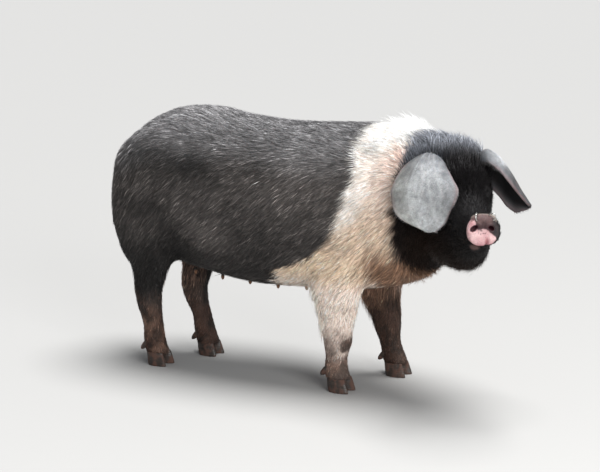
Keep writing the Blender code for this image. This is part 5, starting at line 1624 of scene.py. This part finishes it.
@dataclass
class Coat:
    """Every piece of coat, grown from the finished skin."""

    surface: Surface
    sheet: Array
    seed: int = 7
    flat_tufts: int = 104_000
    made: dict[str, Object] = field(default_factory=dict)

    def draw_roots(self, count: int, density: Array, rng: np.random.Generator) -> Roots:
        """Roots spread evenly over the skin by area and density.

        Args:
            count: How many.
            density: Weight of each triangle for its area.
            rng: Source of the random draws.

        Returns:
            The roots, with colours from the markings.
        """
        corners = [self.surface.faces[:, corner] for corner in range(3)]
        a, b, c = (self.surface.points[corner] for corner in corners)
        total = np.cumsum(np.linalg.norm(np.cross(b - a, c - a), axis=1) * density)
        marks = (np.arange(count) + rng.random(count)) / count * total[-1]
        pick = np.searchsorted(total, marks).clip(0, len(total) - 1)
        u, v = rng.random((2, count))
        u, v = np.where(u + v > 1, 1 - u, u), np.where(u + v > 1, 1 - v, v)
        shares = np.stack([1 - u - v, u, v], 1)[..., None]
        where = np.stack([corner[pick] for corner in corners], 1)
        points = (self.surface.points[where] * shares).sum(axis=1)
        normals = unit((self.normals[where] * shares).sum(axis=1))
        return Roots(points, normals, lie_of_coat(points, normals), MARKS.coat(points))

    def __post_init__(self) -> None:
        """Read the normals and the middles of the triangles once."""
        self.normals = self.surface.normals()
        self.centres = self.surface.points[self.surface.faces].mean(axis=1)
        self.facing = unit(self.normals[self.surface.faces].mean(axis=1))
        self.ear = (np.abs(self.sheet[self.surface.faces, 0]).max(axis=1) > 0.5)
        self.hairy = self.cover(self.centres) * ~self.ear
        places = self.surface.points.tolist()
        self.ears = BVHTree.FromPolygons(places, self.surface.faces[self.ear].tolist())
        self.body = BVHTree.FromPolygons(places, self.surface.faces[~self.ear].tolist())

    @staticmethod
    def cover(points: Array) -> Array:
        """Share of hair: none on the bare snout, round the eyes and teats or under the coronets."""
        open_skin = 1 - step(0.15, 0.5, np.maximum(MARKS.on_snout(points), MARKS.bridge(points)))
        for place in Skin.teat_places():
            open_skin = open_skin * (apart(points, place + TEAT_TIP) > TEAT_BARE)
        for side in SIDES:
            centre, _, radius = Eye(side).frame()
            open_skin = open_skin * (apart(points, centre) > radius * EYE_BARE)
        return open_skin * (points[:, 2] > FORM.coronet + 0.004)

    @staticmethod
    def region(points: Array) -> Array:
        """Number of the region that each place lies in: four along the trunk, then neck, face and legs."""
        x, _, z = points.T
        found = np.searchsorted(REGION_EDGES, x, side="right")
        found = np.where(MARKS.along_neck(points) > 0.48, Region.NECK.value, found)
        found = np.where((HEAD.local(points)[:, 0] > 0.035) & (x > 0.5), Region.FACE.value, found)
        found = np.where((z < 0.29) & (x > 0.16) & (x < 0.42), Region.FORELEGS.value, found)
        return np.where((z < 0.31) & (x < -0.23), Region.HIND_LEGS.value, found)

    @staticmethod
    def size(points: Array) -> Array:
        """Length of the coat as a part of its full length: shorter on legs and face."""
        local = HEAD.local(points)
        leg = step(0.30, 0.16, points[:, 2])
        face = step(0.02, 0.26, local[:, 0]) * ahead_of_trunk(points)
        return (1 - 0.50 * leg) * (1 - 0.42 * face) * (1 - 0.15 * step(0.09, 0.06, points[:, 2]))

    def flat_coat(self) -> None:
        """The coat that lies along the body, a piece for each region."""
        rng = np.random.default_rng(self.seed)
        region = self.region(self.centres)
        face = step(0.04, 0.16, HEAD.local(self.centres)[:, 0]) * (region == Region.FACE.value)
        thick = (1 + 0.5 * (region == Region.NECK.value) + 0.55 * (region == Region.FACE.value) + 1.1 * face
                 + 0.6 * step(0.30, 0.2, self.centres[:, 2]))
        roots = self.draw_roots(self.flat_tufts, self.hairy * thick, rng)
        region = self.region(roots.points)
        for place in Region:
            chosen = roots.kept(region == place.value)
            kind = DARK_FLAT if place in (Region.RUMP, Region.LOIN, Region.CHEST) else PALE_FLAT
            kind = HEAD_FLAT if place in (Region.NECK, Region.FACE) else kind
            name = f"coat_{place.name.lower()}"
            along = chosen.lie * np.einsum("ij,ij->i", chosen.points, chosen.lie)[:, None]
            clump = sum(share * noise(fine * chosen.points - drawn * along, 1.0, seed)
                        for share, fine, drawn, seed in CLUMPS)
            dark = 1 - 0.80 * step(0.30, 0.85, chosen.colour.mean(axis=1))
            chosen.colour = chosen.colour * np.exp(dark * clump - 0.06)[:, None]
            self.made[name] = grow(name, chosen, kind, self.size(chosen.points), rng, self.ears, self.body)

    def long_hair(self) -> None:
        """Pieces of longer hair that stand out from the flat coat, and the hair of the ears."""
        x, y, z = self.centres.T
        along, _, up = HEAD.local(self.centres).T
        brow = step(-0.05, 0.0, along) * step(0.17, 0.10, along) * step(-0.05, -0.02, up)
        chin = step(-0.12, -0.20, up) * step(-0.08, 0.0, along) * step(0.45, 0.52, x)
        behind = step(0.33, 0.29, z) * step(0.17, 0.22, z) * step(0.1, 0.16, x)
        tail_end = step(0.53, 0.47, z) * step(-0.495, -0.50, x) * (np.hypot(x + 0.511, y - 0.005) < 0.022)
        density = {"crest": self.hairy * MARKS.nape(self.centres, self.facing[:, 2]),
                   "brow": self.hairy * brow,
                   "beard": self.hairy * chin,
                   "forearm_fringe": self.hairy * (behind * step(-0.2, -0.6, self.facing[:, 0])),
                   "tail_tuft": tail_end,
                   "coronet_fringe": step(0.066, 0.056, z) * (z > 0.040)}
        for seed, (name, (count, kind)) in enumerate(STANDING_HAIR.items(), 11):
            rng = np.random.default_rng(seed)
            roots = self.draw_roots(count, density[name], rng)
            if name == "tail_tuft":
                roots.lie = flattened(np.tile(TAIL_FALL, (count, 1)), roots.normals)
            self.made[name] = grow(name, roots, kind, np.ones(count), rng, self.ears)
        self.ear_hair()

    def ear_hair(self) -> None:
        """Short hair of mixed greys on both ears, thick along their rims and dark at their roots, and painted
        dark over the left ear as shade.
        """
        rng = np.random.default_rng(17)
        sheet = self.sheet[self.surface.faces].mean(axis=1)
        for side, way in SIDES.items():
            mine = self.ear & (np.sign(sheet[:, 0]) == way)
            s, t = np.abs(sheet[:, 0]) - 1, np.abs(sheet[:, 1])
            rim = np.where(sheet[:, 2] > 0, 0.5 + 5.0 * step(0.25, 0.0, s), 0.7 + 2.0 * step(0.7, 1.0, t))
            roots = self.draw_roots(EAR_HAIRS, mine * rim, rng)
            root_at = HEAD.place([0.01, way * 0.075, -0.005])
            away = unit(roots.points - root_at + 0.03 * rng.normal(0, 1, roots.points.shape))
            roots.lie = flattened(away, roots.normals)
            beyond = apart(roots.points, root_at)
            near = step(0.075, 0.035, beyond)
            speck = mix(np.array(TINTS.ear_grey) * 0.35, TINTS.ear_light, rng.random(len(near)))
            # Painted shade over the hair of the left ear, away from its root
            if side == "left":
                speck = mix(speck, TINTS.ear_inside, 0.9 * step(0.055, 0.095, beyond))
            roots.colour = mix(speck, np.array(TINTS.slate_hair) * 0.7, 0.9 * near)
            name = f"ear_hair_{side}"
            self.made[name] = grow(name, roots, EAR_FLAT, 0.7 + 0.8 * near, rng, shape=self.ears)


# Horn and wire

@dataclass(frozen=True)
class Claw:
    """One main claw: an egg-shaped sole drawn to a point ahead, ridged, rising to the coronet."""

    leg: str
    side: str
    toe: str
    length: float = 0.066
    width: float = 0.032
    splay: float = math.radians(7)

    def build(self) -> Object:
        """Level sections, each an ellipse narrowed in front, with growth ridges and a worn edge."""
        low, high = node_box(f"{self.leg}_claw_{self.side}_{self.toe}")
        height = np.linspace(0, 1, 30)
        z = low[2] + (high[2] - low[2]) * height
        scale = 1 - 0.12 * height ** 1.4 - 0.05 * np.exp(-height / 0.05)
        shift = 0.004 - 0.010 * height
        ridges = 1 + 0.012 * np.sin(height * 46) * step(0.1, 0.3, height)
        turn = np.linspace(0, 2 * np.pi, 56, endpoint=False)[None, :]
        wide = (scale * ridges)[:, None]
        x = self.length / 2 * wide * np.cos(turn) + shift[:, None]
        y = self.width / 2 * wide * np.sin(turn) * (1 - 0.30 * np.cos(turn))
        splay = self.splay * SIDES[self.toe]
        middle = (low + high) / 2
        cosine, sine = math.cos(splay), math.sin(splay)
        upright = np.broadcast_to(z[:, None], x.shape)
        rings = np.stack([x * cosine - y * sine, x * sine + y * cosine, upright], -1)
        level = rings[..., :2]
        level += middle[:2] - (level.min(axis=(0, 1)) + level.max(axis=(0, 1))) / 2
        return mesh_object(f"horn_{self.leg}_{self.side}_{self.toe}", Surface.from_rings(to_frame(rings)))


@dataclass(frozen=True)
class Dewclaw:
    """A small horn behind the pastern that points down and back."""

    leg: str
    side: str
    toe: str

    def build(self) -> Object:
        """A tube that swells a little and ends in a blunt point, between the corners of its node."""
        low, high = node_box(f"{self.leg}_dewclaw_{self.side}_{self.toe}")
        middle = (low + high) / 2
        start = np.array([high[0] - 0.006, middle[1] - 0.002 * SIDES[self.toe], high[2] - 0.008])
        end = np.array([low[0] + 0.003, middle[1] + 0.003 * SIDES[self.toe], low[2] + 0.003])
        share = np.linspace(0, 1, 16)[:, None]
        radii = 0.0098 * np.sqrt(np.maximum(1 - ((share[:, 0] - 0.30) / 0.72) ** 2, 0.02))
        made = tube(to_frame(start * (1 - share) + end * share), radii, 22)
        return mesh_object(f"spur_{self.leg}_{self.side}_{self.toe}", made)


@dataclass(frozen=True)
class NoseRing:
    """A wire ring through the upper rim of the snout, its ends butted with a small gap."""

    side: str
    turned: float
    radius: float = 0.0105
    wire: float = 0.0014
    lean: float = math.radians(14)

    def build(self) -> Object:
        """A circle of wire, leaning outwards as its node does, slightly bent out of true."""
        low, high = node_box(f"nose_ring_{self.side}")
        lean = self.lean * SIDES[self.side]
        out, left, up = HEAD.disc_axes()
        raised = up * math.cos(lean) + left * math.sin(lean)
        out = out * math.cos(self.turned) + left * math.sin(self.turned)
        turn = np.linspace(math.radians(100), math.radians(455), 90)[:, None]
        radius = self.radius * (1 + 0.03 * np.sin(2 * turn))
        route = (low + high) / 2 + radius * (out * np.cos(turn) + raised * np.sin(turn))
        made = tube(route, np.full(90, self.wire), 16, across=np.cross(out, raised))
        return mesh_object(f"wire_ring_{self.side}", Surface(to_frame(made.points), made.faces))


# Finishes

BUMP_DEPTH = 0.0012


def put(node: Node, inputs: dict) -> None:
    """Set inputs of a node, by name or number."""
    for entry, value in inputs.items():
        node.inputs[entry].default_value = value


class NodeTree:
    """Short ways to build a shader node tree."""

    def __init__(self, tree: bpy.types.NodeTree) -> None:
        """Work on a tree."""
        self.tree = tree

    def add(self, kind: str, inputs: dict | None = None, **settings: object) -> Node:
        """A node with some of its settings and inputs given."""
        node = self.tree.nodes.new(kind)
        for name, value in settings.items():
            setattr(node, name, value)
        put(node, inputs or {})
        return node

    def link(self, source: Node, output: str | int, target: Node, entry: str | int) -> None:
        """Join an output of one node to an input of another."""
        self.tree.links.new(source.outputs[output], target.inputs[entry])


def new_group(name: str, inputs: dict, output: str) -> tuple[NodeTree, Node, Node]:
    """A shared group and the nodes at its two ends.

    Args:
        name: Name of the group.
        inputs: Default of each input: one number, three of a vector or four of a colour.
        output: Name of its output, Color or Mask.

    Returns:
        The tree, the node that holds its inputs and the node that holds its output.
    """
    group = bpy.data.node_groups.new(name, "ShaderNodeTree")
    kinds = {1: "NodeSocketFloat", 3: "NodeSocketVector", 4: "NodeSocketColor"}
    for entry, value in inputs.items():
        kind = kinds[np.size(value)]
        group.interface.new_socket(entry, in_out="INPUT", socket_type=kind).default_value = value
    group.interface.new_socket(output, in_out="OUTPUT", socket_type=kinds[4 if output == "Color" else 1])
    made = NodeTree(group)
    return made, made.add("NodeGroupInput"), made.add("NodeGroupOutput")


def cloud_group() -> bpy.types.NodeTree:
    """Shared group: a soft mask of clouds in Object coordinates, stretched by a scale for each axis."""
    made, inputs, outputs = new_group(
        "cloud_mask", {"Scale": (20.0, 20.0, 20.0), "Detail": 4.0, "From": 0.4, "To": 0.6}, "Mask")
    place = made.add("ShaderNodeTexCoord")
    stretch = made.add("ShaderNodeVectorMath", operation="MULTIPLY")
    cloud = made.add("ShaderNodeTexNoise", {"Scale": 1.0})
    ramp = made.add("ShaderNodeMapRange", interpolation_type="SMOOTHSTEP")
    for link in ((place, "Object", stretch, 0), (inputs, "Scale", stretch, 1), (stretch, 0, cloud, "Vector"),
                 (inputs, "Detail", cloud, "Detail"), (cloud, "Fac", ramp, "Value"),
                 (inputs, "From", ramp, "From Min"), (inputs, "To", ramp, "From Max"),
                 (ramp, "Result", outputs, "Mask")):
        made.link(*link)
    return made.tree


def tone_group() -> bpy.types.NodeTree:
    """Shared group: a colour made darker or lighter by a mask, between two shares."""
    made, inputs, outputs = new_group(
        "tone_by_mask", {"Color": (1.0, 1.0, 1.0, 1.0), "Mask": 0.5, "Dark": 1.0, "Light": 1.0}, "Color")
    share = made.add("ShaderNodeMapRange")
    scale = made.add("ShaderNodeVectorMath", operation="SCALE")
    for link in ((inputs, "Mask", share, "Value"), (inputs, "Dark", share, "To Min"),
                 (inputs, "Light", share, "To Max"), (inputs, "Color", scale, 0),
                 (share, "Result", scale, "Scale"), (scale, "Vector", outputs, "Color")):
        made.link(*link)
    return made.tree


class Finishes:
    """The materials of the pig, built from two shared groups."""

    def __init__(self) -> None:
        """Make the shared groups once."""
        self.clouds = cloud_group()
        self.tones = tone_group()

    @staticmethod
    def start(name: str, inputs: dict | None = None) -> tuple[Material, NodeTree, Node]:
        """A new material, its tree and its Principled shader."""
        material = bpy.data.materials.new(name)
        material.use_nodes = True
        shader = material.node_tree.nodes["Principled BSDF"]
        put(shader, inputs or {})
        return material, NodeTree(material.node_tree), shader

    def cloud(self, made: NodeTree, scale: Triple, low: float, high: float, detail: float = 4.0) -> Node:
        """A cloud mask in a material."""
        return made.add("ShaderNodeGroup", node_tree=self.clouds,
                        inputs={"Scale": scale, "Detail": detail, "From": low, "To": high})

    def toned(self, made: NodeTree, mask: Node, dark: float, light: float,
              colour: Triple | None = None) -> Node:
        """A colour varied by a mask; by default the colour that the mesh holds at each point."""
        node = made.add("ShaderNodeGroup", node_tree=self.tones, inputs={"Dark": dark, "Light": light})
        if colour is None:
            made.link(made.add("ShaderNodeAttribute", attribute_name="hide"), "Color", node, "Color")
        else:
            put(node, {"Color": (*colour, 1.0)})
        made.link(mask, "Mask", node, "Mask")
        return node

    @staticmethod
    def roughened(made: NodeTree, shader: Node, mask: Node, low: float, high: float) -> None:
        """Roughness that goes from low to high with a mask."""
        ramp = made.add("ShaderNodeMapRange", {"To Min": low, "To Max": high})
        made.link(mask, "Mask", ramp, "Value")
        made.link(ramp, "Result", shader, "Roughness")

    @staticmethod
    def bump(made: NodeTree, shader: Node, mask: Node, strength: float) -> None:
        """Fine relief from a mask."""
        node = made.add("ShaderNodeBump", {"Strength": strength, "Distance": BUMP_DEPTH})
        made.link(mask, "Mask", node, "Height")
        made.link(node, "Normal", shader, "Normal")

    def skin(self) -> Material:
        """Skin: markings held by the mesh, fine pores and a roughness that falls on the moist snout."""
        material, made, shader = self.start("pig_skin", {
            "Specular IOR Level": 0.22, "Subsurface Weight": 0.06, "Subsurface Scale": 0.01})
        grain = self.cloud(made, (420.0, 420.0, 420.0), 0.3, 0.7, 6.0)
        made.link(self.toned(made, grain, 0.84, 1.14), "Color", shader, "Base Color")
        made.link(made.add("ShaderNodeAttribute", attribute_name="gloss"), "Fac", shader, "Roughness")
        self.bump(made, shader, grain, 0.55)
        return material

    def hair(self, name: str, shine: float) -> Material:
        """Coat: markings held by each bristle, a slow change of gloss, and a soft shine."""
        material, made, shader = self.start(name, {"Specular IOR Level": shine})
        dust = self.cloud(made, (26.0, 26.0, 26.0), 0.35, 0.65)
        made.link(self.toned(made, dust, 0.88, 1.10), "Color", shader, "Base Color")
        self.roughened(made, shader, dust, 0.36, 0.52)
        return material

    def horn(self) -> Material:
        """Claws: dark brown horn with growth bands under dried mud."""
        material, made, shader = self.start("claw_horn")
        bands = self.cloud(made, (30.0, 30.0, 340.0), 0.35, 0.65)
        caked = self.cloud(made, (55.0, 55.0, 40.0), 0.42, 0.62, 6.0)
        blend = made.add("ShaderNodeMix", {7: (*TINTS.mud, 1.0)}, data_type="RGBA")
        made.link(caked, "Mask", blend, "Factor")
        made.link(self.toned(made, bands, 0.6, 1.35, (0.028, 0.019, 0.014)), "Color", blend, 6)
        made.link(blend, 2, shader, "Base Color")
        self.roughened(made, shader, caked, 0.42, 0.85)
        self.bump(made, shader, caked, 0.6)
        return material

    def wire(self) -> Material:
        """Nose rings: dull drawn wire, worn bright and stained in places."""
        material, made, shader = self.start("ring_wire", {"Metallic": 1.0})
        stain = self.cloud(made, (240.0, 240.0, 240.0), 0.40, 0.65)
        made.link(self.toned(made, stain, 0.55, 1.15, (0.60, 0.59, 0.56)), "Color", shader, "Base Color")
        self.roughened(made, shader, stain, 0.45, 0.22)
        return material

    def eye(self) -> Material:
        """Eyeball: iris and pupil held by the mesh, under a wet clear coat."""
        material, made, shader = self.start("eye_dark", {
            "Roughness": 0.12, "Coat Weight": 1.0, "Coat Roughness": 0.03})
        veins = self.cloud(made, (500.0, 500.0, 500.0), 0.4, 0.7)
        made.link(self.toned(made, veins, 0.9, 1.1), "Color", shader, "Base Color")
        return material

    def floor(self) -> Material:
        """Plain pale floor."""
        return self.start("pale_floor", {"Base Color": (0.335, 0.332, 0.325, 1.0), "Roughness": 0.9})[0]


# The stage

@dataclass(frozen=True)
class Stage:
    """Pale floor, soft studio light and the camera."""

    focal_pixels: float = 1600.0
    frame_pixels: float = 600.0
    azimuth: float = math.radians(30.0)
    elevation: float = math.radians(11.3)
    place: Triple = (2.224, -3.901, 1.33)
    floor_reach: float = 60.0
    softbox: Triple = (3.6, -2.6, 1.9)
    middle: Triple = (0.0, 0.0, 0.45)
    sky_way: Triple = (-0.12, -0.12, -1.0)
    air: tuple = (0.86, 0.88, 0.92, 1.0)

    def camera(self) -> None:
        """A long lens at the photograph's angle."""
        data = bpy.data.cameras.new("camera")
        data.sensor_width = 36.0
        data.sensor_fit = "HORIZONTAL"
        data.lens = data.sensor_width * self.focal_pixels / self.frame_pixels
        data.clip_end = 200.0
        a, e = self.azimuth, self.elevation
        back = Vector((math.sin(a) * math.cos(e), -math.cos(a) * math.cos(e), math.sin(e)))
        right = Vector((math.cos(a), math.sin(a), 0.0))
        obj = linked("camera", data)
        turned = Matrix((right, back.cross(right), back)).transposed().to_4x4()
        obj.matrix_world = Matrix.Translation(self.place) @ turned
        bpy.context.scene.camera = obj

    def floor(self, finish: Material) -> None:
        """A wide level floor."""
        reach = self.floor_reach
        mesh = bpy.data.meshes.new("floor")
        corners = [(-reach, -reach, 0), (reach, -reach, 0), (reach, reach, 0), (-reach, reach, 0)]
        mesh.from_pydata(corners, [], [(0, 1, 2, 3)])
        mesh.materials.append(finish)
        linked("floor", mesh)

    @staticmethod
    def light(name: str, kind: str, power: float, place: Vector, aim: Vector) -> bpy.types.Light:
        """A light at a place that shines along an aim."""
        data = bpy.data.lights.new(name, kind)
        data.energy = power
        turned = aim.to_track_quat("-Z", "Y").to_matrix().to_4x4()
        linked(name, data).matrix_world = Matrix.Translation(place) @ turned
        return data

    def build(self, finishes: Finishes) -> None:
        """Everything round the pig: a soft sky from high up and one square softbox in front."""
        self.camera()
        self.floor(finishes.floor())
        self.light("sky", "SUN", 6.0, Vector(), Vector(self.sky_way)).angle = math.radians(36.0)
        aim = Vector(self.middle) - Vector(self.softbox)
        self.light("front", "AREA", 170.0, Vector(self.softbox), aim).size = 2.2
        world = bpy.data.worlds.new("studio")
        bpy.context.scene.world = world
        world.use_nodes = True
        put(world.node_tree.nodes["Background"], {"Color": self.air, "Strength": 0.42})
        bpy.context.scene.view_settings.view_transform = "Standard"


# Assembly

PAIRED = [f"{name}_{side}" for name in ("shoulder", "front_leg", "ham", "hind_leg", "ear") for side in SIDES]
FLESH = ("torso", "neck", "head", "jaw", "snout", *PAIRED, "tail")


def place_piece(obj: Object, finish: Material, slot: str, *nodes: str) -> None:
    """Finish a piece, set it on the body, and hide the nodes that it stands for."""
    obj.data.materials.clear()
    obj.data.materials.append(finish)
    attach(obj, "root")
    if nodes:
        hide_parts(*nodes)
    LOG.info("%s: %d faces", obj.name, len(obj.data.polygons))


def main() -> None:
    """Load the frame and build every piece."""
    logging.basicConfig(level=logging.INFO, format="%(name)s: %(message)s")
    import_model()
    finishes = Finishes()
    Stage().build(finishes)

    skin = Skin().build()
    surface = read_surface(skin.data)
    values = np.zeros(len(surface.points) * 3, np.float32)
    skin.data.attributes["sheet"].data.foreach_get("vector", values)
    sheet = values.reshape(-1, 3).astype(float)
    Skin.dress(skin, sheet)
    coat = Coat(surface, sheet)
    coat.flat_coat()
    coat.long_hair()
    write_points(skin.data, to_frame(surface.points))
    thin_out(skin, (Coat.cover(surface.points) > 0.5) & (np.abs(sheet[:, 0]) < 0.5), SKIN_TRIANGLES)
    LOG.info("skin: %d triangles", len(read_surface(skin.data).faces))
    place_piece(skin, finishes.skin(), "pale_skin", *FLESH)
    body_hair, head_hair = finishes.hair("body_bristle", 0.45), finishes.hair("head_bristle", 0.07)
    for name, piece in coat.made.items():
        slot = "muddy_hair" if "leg" in name or "coronet" in name else "slate_hair"
        hair = head_hair if name in ("coat_neck", "coat_face", "brow", "beard") else body_hair
        place_piece(piece, hair, "ear_skin" if name.startswith("ear") else slot)

    horn, wire, wet = finishes.horn(), finishes.wire(), finishes.eye()
    for leg in ("front", "hind"):
        for side in SIDES:
            for toe in SIDES:
                for kind in (Claw, Dewclaw):
                    node = f"{leg}_{kind.__name__.lower()}_{side}_{toe}"
                    place_piece(kind(leg, side, toe).build(), horn, "claw_horn", node)
    for side, turned in (("right", -0.5), ("left", 0.8)):
        place_piece(Eye(side).ball(), wet, "eye_dark", f"eye_{side}")
        place_piece(NoseRing(side, turned).build(), wire, "ring_wire", f"nose_ring_{side}")


if __name__ == "__main__":
    main()
